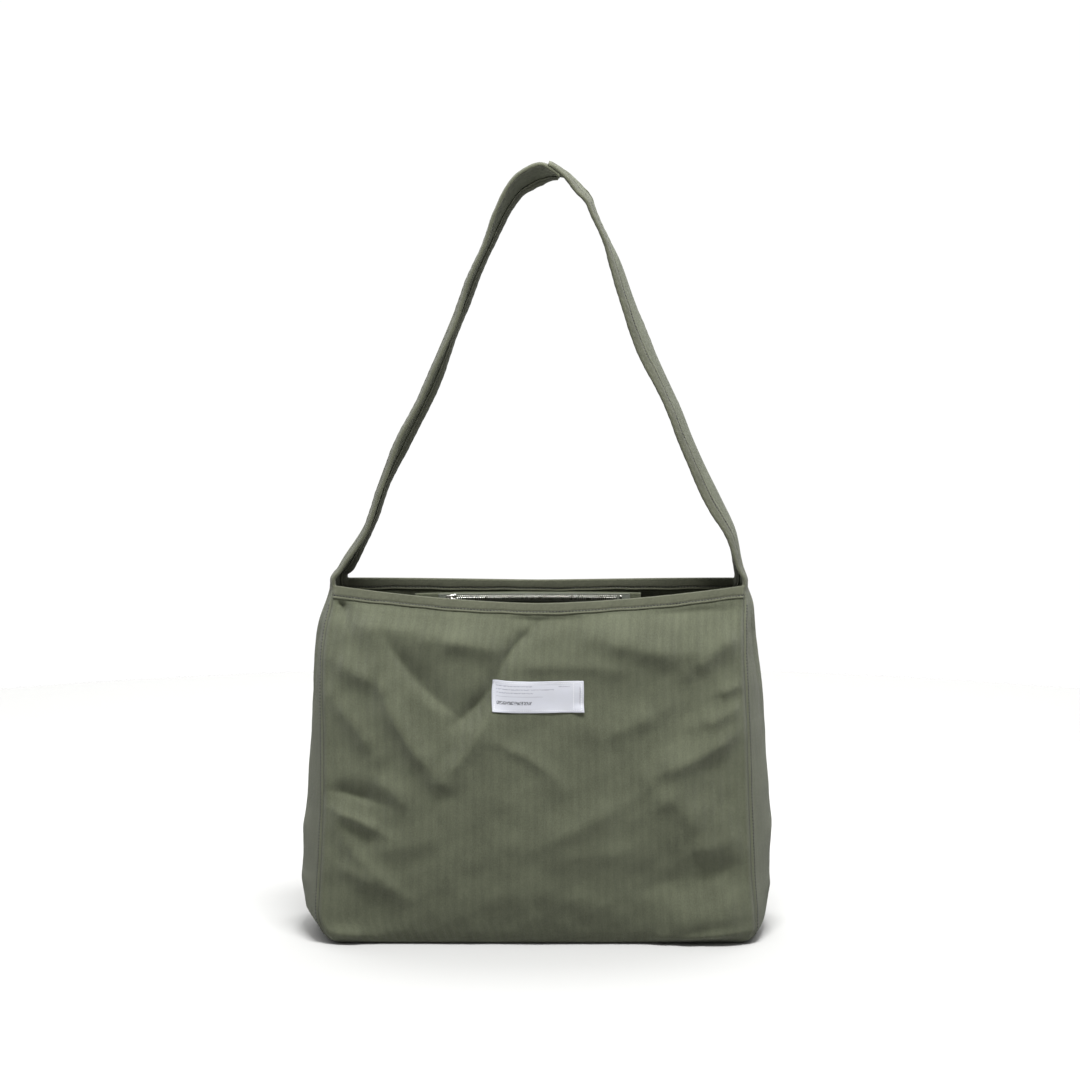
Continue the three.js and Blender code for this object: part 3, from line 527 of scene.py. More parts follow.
def twillMaterial(name, look):
    material, tree, shader = newMaterial(name)
    uv = addNode(tree, "UVMap", {}, uv_map="weave")
    split = addNode(tree, "SeparateXYZ", {0: uv})
    u, v = split.outputs[0], split.outputs[1]
    noise = {}
    for row in clothNoise:
        inputs = {"Vector": uv, "Scale": row["scale"], "Detail": row["detail"], "Roughness": row["rough"]}
        noise[row["name"]] = addNode(tree, "TexNoise", inputs, noise_dimensions="2D")
    # uneven dye along the warp, seen as faint upright streaks
    drawn = addNode(tree, "VectorMath", {0: uv, 1: (1.6, 0.05, 1)}, operation="MULTIPLY")
    streak = addNode(tree, "TexNoise", {"Vector": drawn, "Scale": 1.0, "Detail": 2.0}, noise_dimensions="2D")
    # the yarn wanders a little, so that no rib is ruled
    wander = addNode(tree, "Math", {0: noise["wander"], 1: 0.5}, operation="SUBTRACT")
    bent = addNode(tree, "Math", {0: wander, 1: 1.6, 2: u}, operation="MULTIPLY_ADD")
    zigzag = addNode(tree, "Math", {0: bent, 1: look["half"]}, operation="PINGPONG")
    climb = addNode(tree, "Math", {0: zigzag, 1: 1.25, 2: v}, operation="MULTIPLY_ADD")
    # the ribs of the twill, and the yarns that cross in them
    waves = []
    for place, spacing in ((climb, look["rib"]), (bent, 0.55), (v, 0.62)):
        turn = addNode(tree, "Math", {0: place, 1: 2 * math.pi / spacing}, operation="MULTIPLY")
        waves.append(addNode(tree, "Math", {0: turn}, operation="SINE"))
    crossing = addNode(tree, "Math", {0: waves[1], 1: waves[2]}, operation="MULTIPLY")
    rib = addNode(tree, "Math", {0: waves[0], 1: 0.5, 2: 0.5}, operation="MULTIPLY_ADD")
    yarn = addNode(tree, "Math", {0: crossing, 1: 0.5, 2: 0.5}, operation="MULTIPLY_ADD")
    # each pattern's middle and how much it lightens the cloth
    tone = 0.12
    parts = [(rib, 0, 0.5), (yarn, 0, 0.2), (streak, 0.5, 0.35)]
    parts += [(noise["lint"], 0.5, 1.1), (noise["patch"], 0.5, 0.9)]
    for part, middle, weight in parts:
        shifted = addNode(tree, "Math", {0: part, 1: middle}, operation="SUBTRACT")
        tone = addNode(tree, "Math", {0: shifted, 1: weight, 2: tone}, operation="MULTIPLY_ADD")
    dark, light = linear(look["dark"]), linear(look["light"])
    colour = addNode(tree, "Mix", {0: tone, 6: dark, 7: light}, data_type="RGBA")
    # the herringbone's two halves catch the light differently
    low, high = 1 - look["columnContrast"], 1 + look["columnContrast"]
    inputs = {0: zigzag, 1: 0.3 * look["half"], 2: 0.7 * look["half"], 3: low, 4: high}
    halves = addNode(tree, "MapRange", inputs, interpolation_type="SMOOTHSTEP")
    # shade in the groove of the sewn seam at a wall's two sides
    side = addNode(tree, "Math", {0: u}, operation="ABSOLUTE")
    groove = addNode(tree, "MapRange", {0: side, 1: halfWidth - 1.9, 2: halfWidth - 0.6, 3: 1.0, 4: 0.4})
    for shade in (halves, groove):
        colour = addNode(tree, "Mix", {0: 1.0, 6: colour, 7: shade}, data_type="RGBA", blend_type="MULTIPLY")
    # the faces of ridges lose dye where the bag rubs
    ridge = addNode(tree, "NewGeometry", {}).outputs["Pointiness"]
    rubbed = addNode(tree, "MapRange", {0: ridge, 1: 0.51, 2: 0.56, 3: 0.0, 4: look["rubbed"]})
    colour = addNode(tree, "Mix", {0: rubbed, 6: colour, 7: linear("#7b7e68")}, data_type="RGBA")
    height = 0.0
    for part, weight in ((rib, 1.0), (yarn, 0.45), (noise["lint"], 0.8)):
        height = addNode(tree, "Math", {0: part, 1: weight, 2: height}, operation="MULTIPLY_ADD")
    bump = addNode(tree, "Bump", {"Height": height, "Strength": 1.0, "Distance": look["bump"] * mm})
    feed(tree, shader, {"Base Color": colour, "Normal": bump, "Roughness": 0.93, "Specular IOR Level": 0.25})
    feed(tree, shader, {"Sheen Weight": 0.12, "Sheen Roughness": 0.6})
    return material


def threadMaterial(name, dark, light):
    # spun polyester thread, two plies twisted: the twist shows as fine slanting shade
    material, tree, shader = newMaterial(name)
    place = addNode(tree, "TexCoord", {}).outputs["Object"]
    inputs = {"Vector": place, "Scale": 700.0, "Distortion": 2.0}
    twist = addNode(tree, "TexWave", inputs, bands_direction="DIAGONAL").outputs["Fac"]
    tint = addNode(tree, "Mix", {0: twist, 6: linear(dark), 7: linear(light)}, data_type="RGBA")
    feed(tree, shader, {"Base Color": tint, "Roughness": 0.6, "Sheen Weight": 0.2})
    return material


# Print on the label, in millimetres from its lower left corner: fine rows, a rule, a heavy row and an upright
# one. Strokes is how close the breaks are, gap how much of a row they take and ink how dark it is.
labelPrint = table(
    "from to up tall strokes gap ink",
    [
        (4.6, 40, 28.0, 1.0, 1.1, 0.47, 0.62),
        (4.6, 62, 24.4, 1.0, 1.1, 0.47, 0.62),
        (4.6, 41, 20.8, 1.0, 1.1, 0.47, 0.62),
        (4.6, 51, 17.0, 0.35, 1.0, 0.0, 0.55),
        (4.6, 40, 10.3, 3.6, 0.8, 0.42, 0.85),
        (67, 78, 27.6, 0.9, 1.2, 0.47, 0.6),
        (88.0, 89.1, 17.5, 19, 1.1, 0.47, 0.55),
    ],
)


def labelMaterial(name):
    # damask-woven polyester label: off-white satin with a fine cross rib
    material, tree, shader = newMaterial(name)
    uv = addNode(tree, "UVMap", {}, uv_map="weave")
    split = addNode(tree, "SeparateXYZ", {0: uv})
    u, v = split.outputs[0], split.outputs[1]
    grain = 0.0
    for place, spacing, weight in ((u, 0.6, 0.3), (v, 0.45, 0.5)):
        turn = addNode(tree, "Math", {0: place, 1: 2 * math.pi / spacing}, operation="MULTIPLY")
        wave = addNode(tree, "Math", {0: turn}, operation="SINE")
        grain = addNode(tree, "Math", {0: wave, 1: weight, 2: grain}, operation="MULTIPLY_ADD")
    tone = addNode(tree, "Math", {0: grain, 1: 0.3, 2: 0.5}, operation="MULTIPLY_ADD")
    tint = addNode(tree, "Mix", {0: tone, 6: linear("#9ea0a9"), 7: linear("#b1b3bc")}, data_type="RGBA")
    soil = addNode(tree, "TexNoise", {"Vector": uv, "Scale": 0.07, "Detail": 5.0}, noise_dimensions="2D")
    soiled = addNode(tree, "Math", {0: soil, 1: 0.25}, operation="MULTIPLY")
    tint = addNode(tree, "Mix", {0: soiled, 6: tint, 7: linear("#94938d")}, data_type="RGBA")
    for row in labelPrint:
        # the broken strokes stand for small print without being any letters
        inputs = {"Vector": uv, "Scale": row["strokes"], "Detail": 0.0}
        strokes = addNode(tree, "TexNoise", inputs, noise_dimensions="2D")
        inputs = {0: u, 1: (row["from"] + row["to"]) / 2, 2: (row["to"] - row["from"]) / 2}
        across = addNode(tree, "Math", inputs, operation="COMPARE")
        level = addNode(tree, "Math", {0: v, 1: row["up"], 2: row["tall"] / 2}, operation="COMPARE")
        broken = addNode(tree, "Math", {0: strokes, 1: row["gap"]}, operation="GREATER_THAN")
        ink = row["ink"]
        for mask in (across, level, broken):
            ink = addNode(tree, "Math", {0: mask, 1: ink}, operation="MULTIPLY")
        tint = addNode(tree, "Mix", {0: ink, 6: tint, 7: linear("#3c3d42")}, data_type="RGBA")
    bump = addNode(tree, "Bump", {"Height": grain, "Strength": 1.0, "Distance": 0.06 * mm})
    feed(tree, shader, {"Base Color": tint, "Normal": bump, "Roughness": 0.55, "Sheen Weight": 0.15})
    return material


def nickelMaterial(name):
    # nickel-plated brass, barrel-polished: bright, with the grey bloom of handling
    material, tree, shader = newMaterial(name)
    place = addNode(tree, "TexCoord", {}).outputs["Object"]
    bloom = addNode(tree, "TexNoise", {"Vector": place, "Scale": 420.0, "Detail": 4.0})
    rough = addNode(tree, "MapRange", {0: bloom, 1: 0.3, 2: 0.7, 3: 0.22, 4: 0.37})
    tint = addNode(tree, "Mix", {0: bloom, 6: linear("#c9c8c2"), 7: linear("#a9a8a2")}, data_type="RGBA")
    feed(tree, shader, {"Base Color": tint, "Roughness": rough, "Metallic": 1.0})
    return material


twill = twillMaterial("olive herringbone twill", twillLook)
tape = twillMaterial("folded cotton tape", tapeLook)
zipTape = twillMaterial("zip tape", zipTapeLook)
thread = threadMaterial("olive sewing thread", "#5b5d4f", "#434539")
# painted shade of the needle holes: near-black beads made with the thread's material
hole = threadMaterial("needle hole shade", "#0b0b09", "#121210")
labelThread = threadMaterial("label sewing thread", "#dcdcda", "#b9b9b8")
labelCloth = labelMaterial("woven satin label")
nickel = nickelMaterial("nickel-plated brass")
print("materials made")


# Pieces are made in place about the wall's middle, and finishMesh shifts each onto the footprint's middle.


def finishMesh(bm, name, material, body="bag", smooth=True):
    mesh = bpy.data.meshes.new(name)
    bm.to_mesh(mesh)
    bm.free()
    mesh.transform(Matrix.Translation((bag["middle"][0] * mm, bag["middle"][1] * mm, 0)))
    mesh.materials.append(material)
    if smooth:
        mesh.shade_smooth()
    else:
        mesh.shade_flat()
    obj = bpy.data.objects.new(name, mesh)
    bpy.context.scene.collection.objects.link(obj)
    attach(obj, body)
    return obj


def clothGrid(name, place, weave, cells, material, out, thick, spacing=(None, None)):
    # a flat grid laid onto a surface: place and weave take two arrays from 0 to 1, cells counts the grid's
    # cells both ways, spacing says where its lines lie, and out is roughly where the piece faces
    bm = bmesh.new()
    layer = bm.loops.layers.uv.new("weave")
    bmesh.ops.create_grid(bm, x_segments=cells[0], y_segments=cells[1], size=0.5)
    bm.verts.ensure_lookup_table()
    flat = np.array([v.co[:2] for v in bm.verts]) + 0.5
    ways = [flat[:, 0], np.clip(flat[:, 1], 0, 1)]
    for i, marks in enumerate(spacing):
        if marks is not None:
            ways[i] = np.interp(ways[i], np.linspace(0, 1, len(marks)), marks)
    points = place(*ways) * mm
    threads = weave(*ways)
    for v, p in zip(bm.verts, points):
        v.co = p
    for face in bm.faces:
        for loop in face.loops:
            loop[layer].uv = threads[loop.vert.index]
    bm.normal_update()
    total = sum((face.normal * face.calc_area() for face in bm.faces), Vector())
    if total.dot(Vector(out)) < 0:
        bmesh.ops.reverse_faces(bm, faces=bm.faces)
    obj = finishMesh(bm, name, material)
    wall = obj.modifiers.new("cloth", "SOLIDIFY")
    wall.thickness = thick * mm
    wall.offset = 0
    wall.use_even_offset = False
    return obj


def repeatShape(bm, frames):
    # copies the shape in bm, doubling each time, and puts each copy at its own matrix
    spot, copy = bm.verts.layers.int.new("spot"), bm.verts.layers.int.new("copy")
    for i, v in enumerate(bm.verts):
        v[spot] = i
    shape = [v.co.copy() for v in bm.verts]
    have = 1
    while have < len(frames):
        take = min(have, len(frames) - have)
        verts = [v for v in bm.verts if v[copy] < take]
        some = set(verts)
        edges = [e for e in bm.edges if e.verts[0] in some]
        faces = [f for f in bm.faces if f.verts[0] in some]
        for v in bmesh.ops.duplicate(bm, geom=verts + edges + faces)["geom"]:
            if isinstance(v, bmesh.types.BMVert):
                v[copy] += have
        have += take
    for v in bm.verts:
        v.co = frames[v[copy]] @ shape[v[spot]]


def frameOf(place, along, out):
    # a matrix whose X points along and whose Z points out, both in the bag's frame
    along = Vector(along).normalized()
    out = (Vector(out) - along * along.dot(Vector(out))).normalized()
    side = out.cross(along)
    return Matrix.Translation(Vector(place)) @ Matrix((along, side, out)).transposed().to_4x4()


def addBlock(bm, size, middle, bevel, segments=2, taper=None):
    # a block with rounded edges; taper narrows its -X end
    made = bmesh.ops.create_cube(bm, size=1)["verts"]
    bmesh.ops.scale(bm, verts=made, vec=[v * mm for v in size])
    if taper:
        bmesh.ops.scale(bm, verts=[v for v in made if v.co.x < 0], vec=(1, taper, 1))
    bmesh.ops.translate(bm, verts=made, vec=[v * mm for v in middle])
    edges = [e for e in bm.edges if e.verts[0] in made]
    bmesh.ops.bevel(
        bm, geom=edges, offset=bevel * mm, segments=segments, profile=0.5, affect="EDGES", material=-1
    )


# Stitches 3.3 mm apart: each is a bead of thread. Between them, near-black beads are painted shade that
# stands for the needle's holes, drawn wider than real holes so that they show.
stitchLook = {"pitch": 3.3, "long": 2.3, "radius": 0.33}
holeShadeLook = {"pitch": 3.3, "long": 2.0, "radius": 0.85}
labelStitchLook = {"pitch": 2.1, "long": 1.5, "radius": 0.2}


def stitchFrames(points, outs, pitch, start):
    run = lengthAlong(points)
    count = max(1, int(run[-1] / pitch))

    def read(rows, at):
        return np.array([np.interp(at, run, rows[:, i]) for i in range(3)])

    frames = []
    for k in range(count):
        at = (k + start) * run[-1] / count
        ahead = read(points, at + 1) - read(points, at - 1)
        frames.append(frameOf(Vector(read(points, at)) * mm, ahead, read(outs, at)))
    return frames


def stitches(name, runs, material, look, start=0.5):
    # each run is a row of places and the way out of the cloth at each
    frames = [m for points, outs in runs for m in stitchFrames(points, outs, look["pitch"], start)]
    bm = bmesh.new()
    bmesh.ops.create_uvsphere(bm, u_segments=6, v_segments=4, radius=1)
    bmesh.ops.rotate(bm, verts=bm.verts, matrix=Matrix.Rotation(math.pi / 2, 3, "Y"))
    bmesh.ops.scale(bm, verts=bm.verts, vec=(look["long"] / 2 * mm, look["radius"] * mm, look["radius"] * mm))
    lean = Matrix.Rotation(math.radians(4), 4, "Z")
    repeatShape(bm, [m @ lean for m in frames])
    finishMesh(bm, name, material)


# front and back walls


def panelWeave(a, b):
    return np.stack([(a * 2 - 1) * halfWidth, b * bag["height"]], axis=-1)


# grid lines lie closer at the foot and beside the seams
upSpacing = np.concatenate([np.linspace(floorRow, 0.045, 12, endpoint=False), np.linspace(0.045, 1, 178)])
nearSeam = np.linspace(0, 0.03, 16, endpoint=False)
acrossSpacing = np.concatenate([nearSeam, np.linspace(0.03, 0.97, 199), 1 - nearSeam[::-1]])
for back, name, cells in ((-1, "front", (230, 190)), (1, "back", (150, 130))):
    wall = clothGrid(
        name + "_wall",
        lambda a, b: panelPoint(back, a * 2 - 1, b),
        panelWeave,
        cells,
        twill,
        (0, back, 0),
        bag["cloth"],
        (acrossSpacing, upSpacing),
    )
    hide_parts(name + "_panel")
print("front and back walls made")

# side walls, each in one strip with its half of the strap


def bandHalf(run):
    # half of the strip's cut width at a height: wide as the gusset, narrow as the strap
    up = np.clip(run / bag["height"], floorRow, 1)
    low = halfDepth * column(sections, "up", "depth", up) * 1.06
    return np.where(run <= bag["height"], np.maximum(low, bag["strapWide"] / 2), bag["strapWide"] / 2)


for side, name, share in ((-1, "left", lapTo), (1, "right", 1 - lapFrom)):
    strapHalf = share * strapLength
    runEnd = bag["height"] + strapHalf
    band = clothGrid(
        "side_band_" + name,
        lambda a, b: bandPoint(side, a * 2 - 1, b),
        lambda a, b: np.stack([(a * 2 - 1) * bandHalf(b), b], axis=-1),
        (40, 340),
        twill,
        (side, 0, 0.2),
        bag["cloth"],
        (None, np.concatenate([np.linspace(1, 16, 12, endpoint=False), np.linspace(16, runEnd, 330)])),
    )
    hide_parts("gusset_" + name, "strap_" + name)
print("side walls and strap made")

# bottom


def basePoint(a, b):
    # ruled between the four bottom seams
    u, s = a * 2 - 1, b * 2 - 1
    row = np.full_like(u, floorRow)
    one = np.ones_like(u)
    left, right = gussetPoint(-1, s, row, False), gussetPoint(1, s, row, False)
    front, back = panelPoint(-1, u, row, False), panelPoint(1, u, row, False)
    k, m = a[:, None], b[:, None]
    corners = [[panelPoint(y, x * one, row, False) for x in (-1, 1)] for y in (-1, 1)]
    low = corners[0][0] * (1 - k) + corners[0][1] * k
    high = corners[1][0] * (1 - k) + corners[1][1] * k
    return left * (1 - k) + right * k + front * (1 - m) + back * m - (low * (1 - m) + high * m)


base = clothGrid(
    "bottom",
    basePoint,
    lambda a, b: np.stack([(a * 2 - 1) * halfWidth, b * bag["depth"]], axis=-1),
    (60, 24),
    twill,
    (0, 0, -1),
    bag["cloth"],
)
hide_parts("base_panel")
print("bottom made")

# edge tape, folded over the rim and the strap's edges and stitched through
binding = {
    "wide": 11.2,  # seen on each side
    "thick": 0.75,
    "away": 1.6,  # from the cloth's middle to the tape's middle
    "sunk": 1.1,  # how far the fold sits down over the cloth's edge
    "stitchUp": 2.5,  # stitch line from the tape's lower edge
    "cornerUp": 2.5,  # where the turn from rim to strap begins, each way
}


def rimFrames(back):
    # edge, foot and way out of the tape along a rim
    ends = binding["cornerUp"] / halfWidth
    u = np.linspace(-1 + ends, 1 - ends, 230)
    one = np.ones_like(u)

    def place(a, b):
        return panelPoint(back, a, b, False)

    return place(u, one), place(u, one * rimFree), normals(place, u, one * (rimFree + 1) / 2, (0, back, 0))


def strapFrames(side, edgeSide):
    # the same along an edge of the strap
    corner = binding["cornerUp"] / strapLength
    span = (lapTo, corner) if side < 0 else (1 - corner, lapFrom)
    t = np.linspace(span[0], span[1], 250)
    share = 1 - 2 * bag["tapeWide"] / bag["strapWide"]

    def place(a, b):
        return strapPoint(a, b, strapRaise(side, a))

    edge, foot = place(t, edgeSide + 0 * t), place(t, edgeSide * share + 0 * t)
    middle = edgeSide * (1 + share) / 2 + 0 * t
    n = np.cross(place(t + 0.002, middle) - place(t - 0.002, middle), foot - edge)
    n = n / np.linalg.norm(n, axis=1, keepdims=True)
    mark = np.interp(t * strapLength, crestRun, crestMarks)
    outX = np.interp(mark, crestMarks, -np.gradient(crestPlaces[:, 1]))
    outZ = np.interp(mark, crestMarks, np.gradient(crestPlaces[:, 0]))
    return edge, foot, n * np.sign(np.sum(n * stack(outX, 0, outZ), axis=1, keepdims=True))


def cornerFrames(first, second):
    # turns the tape from one edge to the next: a smooth path for its edge and a fan for its width
    e0, f0, n0 = (part[-1] for part in first)
    e1, f1, n1 = (part[0] for part in second)
    t0 = e0 - first[0][-2]
    t1 = second[0][1] - e1
    reach = np.linalg.norm(e1 - e0)
    t0, t1 = t0 / np.linalg.norm(t0) * reach, t1 / np.linalg.norm(t1) * reach
    edges, feet, outs = [], [], []
    d0, d1 = f0 - e0, f1 - e1
    for t in np.linspace(0, 1, 16)[1:-1]:
        h = hermite(t, e0, t0, e1, t1)
        d = d0 * (1 - t) + d1 * t
        d = d / np.linalg.norm(d) * (np.linalg.norm(d0) * (1 - t) + np.linalg.norm(d1) * t)
        n = n0 * (1 - t) + n1 * t
        n = n - d * (n @ d) / (d @ d)
        edges.append(h)
        feet.append(h + d)
        outs.append(n / np.linalg.norm(n))
    return np.array(edges), np.array(feet), np.array(outs)


def tapeProfile():
    # (distance down from the edge, distance out from the cloth's middle), outer leg first
    a = binding["away"]
    low = binding["wide"]
    groove = low - binding["stitchUp"]  # the stitches draw the tape in here
    outer = [(low, a - 0.2), (low - 0.7, a + 0.2), (groove + 0.9, a + 0.15), (groove + 0.1, a - 0.7)]
    outer += [(groove - 0.9, a + 0.05), (groove - 2.2, a + 0.35), (groove - 4.4, a + 0.4)]
    outer += [(2.4, a + 0.2), (1.2, a)]
    outer += [(binding["sunk"] - a * math.sin(x), a * math.cos(x)) for x in (0.1, 0.5, 0.9, 1.3)]
    return np.array(outer + [(binding["sunk"] - a, 0.0)] + [(d, -n) for d, n in reversed(outer)])


def tapeOver(name, parts, replaced):
    # one length of tape over all parts of an edge; gives back the two stitch lines
    edge, foot, out = (np.concatenate([part[i] for part in parts]) for i in range(3))
    profile = tapeProfile()
    down = (foot - edge) / bag["tapeWide"]
    run = lengthAlong(edge)
    count, wide = len(edge), len(profile)

    def nearest(share, total):
        return np.clip(np.round(share * (total - 1)).astype(int), 0, total - 1)

    def place(a, b):
        i, j = nearest(a, count), nearest(b, wide)
        d, n = profile[j, 0], profile[j, 1]
        # hand-guided seam: the lower edge wanders, and the tape swells between stitches
        wave = 0.35 * np.sin(run[i] / 17 + 2 * np.sign(n)) + 0.2 * np.sin(run[i] / 6.1)
        d = d + wave * (d > 6)
        swell = 0.12 * np.sin(run[i] * 2 * math.pi / 9.0 + d) + 0.1 * np.sin(run[i] / 3.7)
        n = n + np.sign(n) * swell * (np.abs(n) > 0.6)
        return edge[i] + down[i] * d[:, None] + out[i] * n[:, None]

    def weave(a, b):
        return np.stack([b * 25, run[nearest(a, count)]], axis=-1)

    obj = clothGrid(name, place, weave, (count - 1, wide - 1), tape, (0, 0, 0), binding["thick"])
    bm = bmesh.new()
    bm.from_mesh(obj.data)
    # outer leg must face out, so that the wall grows both ways evenly
    bmesh.ops.recalc_face_normals(bm, faces=bm.faces)
    bm.to_mesh(obj.data)
    bm.free()
    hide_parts(*replaced)
    line = edge + down * (binding["wide"] - binding["stitchUp"])
    return [(line + out * sign * (binding["away"] - 0.1), out * sign) for sign in (1, -1)]


runs = []
for back, name in ((-1, "front"), (1, "back")):
    left, right, rim = strapFrames(-1, back), strapFrames(1, back), rimFrames(back)
    parts = [left, cornerFrames(left, rim), rim, cornerFrames(rim, right), right]
    replaced = ["rim_binding_" + name, "strap_binding_left_" + name, "strap_binding_right_" + name]
    runs += tapeOver("binding_" + name, parts, replaced)
print("edge bindings made")
stitches("binding_stitches", runs, thread, stitchLook)
# near-black beads between the stitches: painted shade of the needle holes
stitches("binding_needle_hole_shade", runs, hole, holeShadeLook, 0)

# topstitching beside the side seams, on the side walls
seamStitch = {"inset": 4.2, "proud": 0.12}
runs = []
for side in (-1, 1):
    for back in (-1, 1):
        up = np.linspace(0.03, 0.955, 150)
        wide = halfDepth * column(sections, "up", "depth", up)
        s = back * (1 - seamStitch["inset"] / wide)
        out = normals(lambda a, b: gussetPoint(side, a, b), s, up, (side, 0, 0))
        runs.append((gussetPoint(side, s, up) + out * (bag["cloth"] / 2 + seamStitch["proud"]), out))
stitches("seam_stitches", runs, thread, stitchLook)
# near-black beads between the stitches: painted shade of the needle holes
stitches("seam_needle_hole_shade", runs, hole, holeShadeLook, 0)
print("stitches made")

# woven label on the front wall


def labelPoint(x, z, proud=0.0):
    # a place on the label by x and z from its middle, and the way out of the cloth there
    x, z = x + 0.25 * np.sin(z / 6.0), z + 0.3 * np.sin(x / 14.0) - 0.006 * x  # no side is quite straight
    u = (label["middle"][0] + x) / halfWidth
    up = (label["middle"][1] + z + label["sagged"]) / bag["height"]
    n = normals(lambda a, b: panelPoint(-1, a, b), u, up, (0, -1, 0), 0.02)
    corner = ease(30, 47, x) * ease(6, 17, -z)
    buckle = 0.35 * np.sin(x / 9.0) * ease(12, 17, np.abs(z)) + 0.25 * np.sin(z / 5.0)
    away = label["away"] + proud + label["lift"] * corner + buckle
    return panelPoint(-1, u, up) + n * away[..., None], n


labelPiece = clothGrid(
    "woven_label",
    lambda a, b: labelPoint((a - 0.5) * label["wide"], (b - 0.5) * label["tall"])[0],
    lambda a, b: np.stack([a * label["wide"], b * label["tall"]], axis=-1),
    (90, 34),
    labelCloth,
    (0, -1, 0),
    label["thick"],
)
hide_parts("label")
# stitched all round, and once more near its right edge
hx, hz = label["wide"] / 2 - label["border"], label["tall"] / 2 - label["border"]
lines = [(-hx, hz, hx, hz), (hx, hz, hx, -hz), (hx, -hz, -hx, -hz), (-hx, -hz, -hx, hz)]
lines += [(hx - 8, hz, hx - 8, -hz)]
k = np.linspace(0, 1, 40)
runs = [labelPoint(x0 + (x1 - x0) * k, z0 + (z1 - z0) * k, 0.32) for x0, z0, x1, z1 in lines]
stitches("label_stitches", runs, labelThread, labelStitchLook)
print("label made")

# pocket inside the back wall, and its zip
pocket = {
    "left": -130,
    "right": 105,
    "top": 342.4,
    "tall": 164.4,
    "slack": 2.6,  # how far it hangs off the wall
    "thick": 1.1,
    "away": 3.2,  # from the wall's middle to the pocket's middle
    "inset": 2.5,  # from its edges to the stitches
}
zipper = {
    "left": -98,
    "right": 86,
    "up": 337,
    "tapeTall": 9,
    "tapeThick": 0.6,
    "tapePast": 8,  # how far the tape runs on past each end
    "away": 4.4,
    "toothPitch": 2.2,
    "toothSize": (1.25, 3.0, 1.9),
    "toothStep": 0.75,  # teeth stand this much above and below the middle, turn about
}
slider = {
    "long": 10.5,
    "tall": 8.6,
    "thick": 3.2,
    "nose": 0.6,  # share of its height that is left at the nose
    "pullLong": 26.6,
    "pullWide": 6.3,
    "pullThick": 1.25,
    "eye": 1.85,  # radius of the pull's eye round the bar
}


def onBack(x, z, away):
    # a place on the inside of the back wall, by X and height
    u, up = x / halfWidth, z / bag["height"]

    def place(a, b):
        return panelPoint(1, a, b, False)

    for _ in range(6):
        p = place(u, up)
        u, up = u + (x - p[..., 0]) / halfWidth, up + (z - p[..., 2]) / bag["height"]
    n = normals(place, u, up, (0, 1, 0))
    return place(u, up) - n * np.asarray(away)[..., None], -n


def frameOnBack(x, z, away):
    # the matrix of one such place, with its X along the zip
    p, n = onBack(np.array([x]), np.array([z]), away)
    ahead, _ = onBack(np.array([x + 1]), np.array([z]), away)
    return frameOf(p[0] * mm, ahead[0] - p[0], n[0])


def pocketPoint(a, b):
    x = pocket["left"] + (pocket["right"] - pocket["left"]) * a
    z = pocket["top"] - pocket["tall"] * (1 - b)
    slack = pocket["slack"] * np.sin(np.pi * a) ** 0.6 * np.sin(np.pi * np.clip(b / 0.84, 0, 1)) ** 0.7
    return onBack(x, z, pocket["away"] + slack + 0.3 * np.sin(x / 11) * np.sin(z / 17))[0]


pocketPiece = clothGrid(
    "inner_pocket",
    pocketPoint,
    lambda a, b: np.stack([a * 235 - 117, b * pocket["tall"]], axis=-1),
    (110, 80),
    twill,
    (0, -1, 0),
    pocket["thick"],
)
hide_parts("pocket_panel")

tapeFoot = zipper["up"] - zipper["tapeTall"] / 2
tapeFrom, tapeTo = zipper["left"] - zipper["tapePast"], zipper["right"] + zipper["tapePast"]


def zipTapePoint(a, b):
    x = tapeFrom + (tapeTo - tapeFrom) * a
    return onBack(x, tapeFoot + zipper["tapeTall"] * b, zipper["away"] + 0 * a)[0]


zipTapePiece = clothGrid(
    "zip_tapes",
    zipTapePoint,
    lambda a, b: np.stack([b * 9, a * 200], axis=-1),
    (120, 8),
    zipTape,
    (0, -1, 0),
    zipper["tapeThick"],
)
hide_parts("zip_tape")

# stitches along the pocket's foot and sides and both edges of the zip's tape, each with its distance out
foot = pocket["top"] - pocket["tall"] + pocket["inset"]
sides = (pocket["left"] + pocket["inset"], pocket["right"] - pocket["inset"])
lines = [(sides[0], foot, sides[1], foot, 4.0)]
lines += [(x, foot, x, pocket["top"] - 4, 4.0) for x in sides]
for z in (tapeFoot + 0.9, tapeFoot + zipper["tapeTall"] - 0.9):
    lines += [(tapeFrom + 2, z, tapeTo - 2, z, 4.85)]
k = np.linspace(0, 1, 60)
runs = [onBack(x0 + (x1 - x0) * k, z0 + (z1 - z0) * k, away + 0 * k) for x0, z0, x1, z1, away in lines]
stitches("pocket_stitches", runs, thread, stitchLook)

# stamped teeth, clamped on the tape's edges turn about: each is a small block with rounded edges
firstTooth = zipper["left"] + slider["long"] + 1
count = int((zipper["right"] - 4 - firstTooth) / zipper["toothPitch"]) * 2
bm = bmesh.new()
addBlock(bm, zipper["toothSize"], (0, 0, 0), 0.28, segments=1)
frames = []
for i in range(count):
    x = firstTooth + i * zipper["toothPitch"] / 2
    z = zipper["up"] + (zipper["toothStep"] if i % 2 else -zipper["toothStep"])
    frames.append(frameOnBack(x, z, zipper["away"] + 0.3 + zipper["toothSize"][2] / 2))
repeatShape(bm, frames)
teethPiece = finishMesh(bm, "zip_teeth", nickel, smooth=False)
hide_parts("zip_chain")

bm = bmesh.new()
addBlock(bm, (3, 5.2, 2.6), (0, 0, 0), 0.5, segments=3)
stopFrame = frameOnBack(zipper["right"] - 1.5, zipper["up"], zipper["away"] + 1.7)
bmesh.ops.transform(bm, verts=bm.verts, matrix=stopFrame)
stopPiece = finishMesh(bm, "zip_end_stop", nickel)
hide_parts("zip_stop")
print("pocket and zip made")

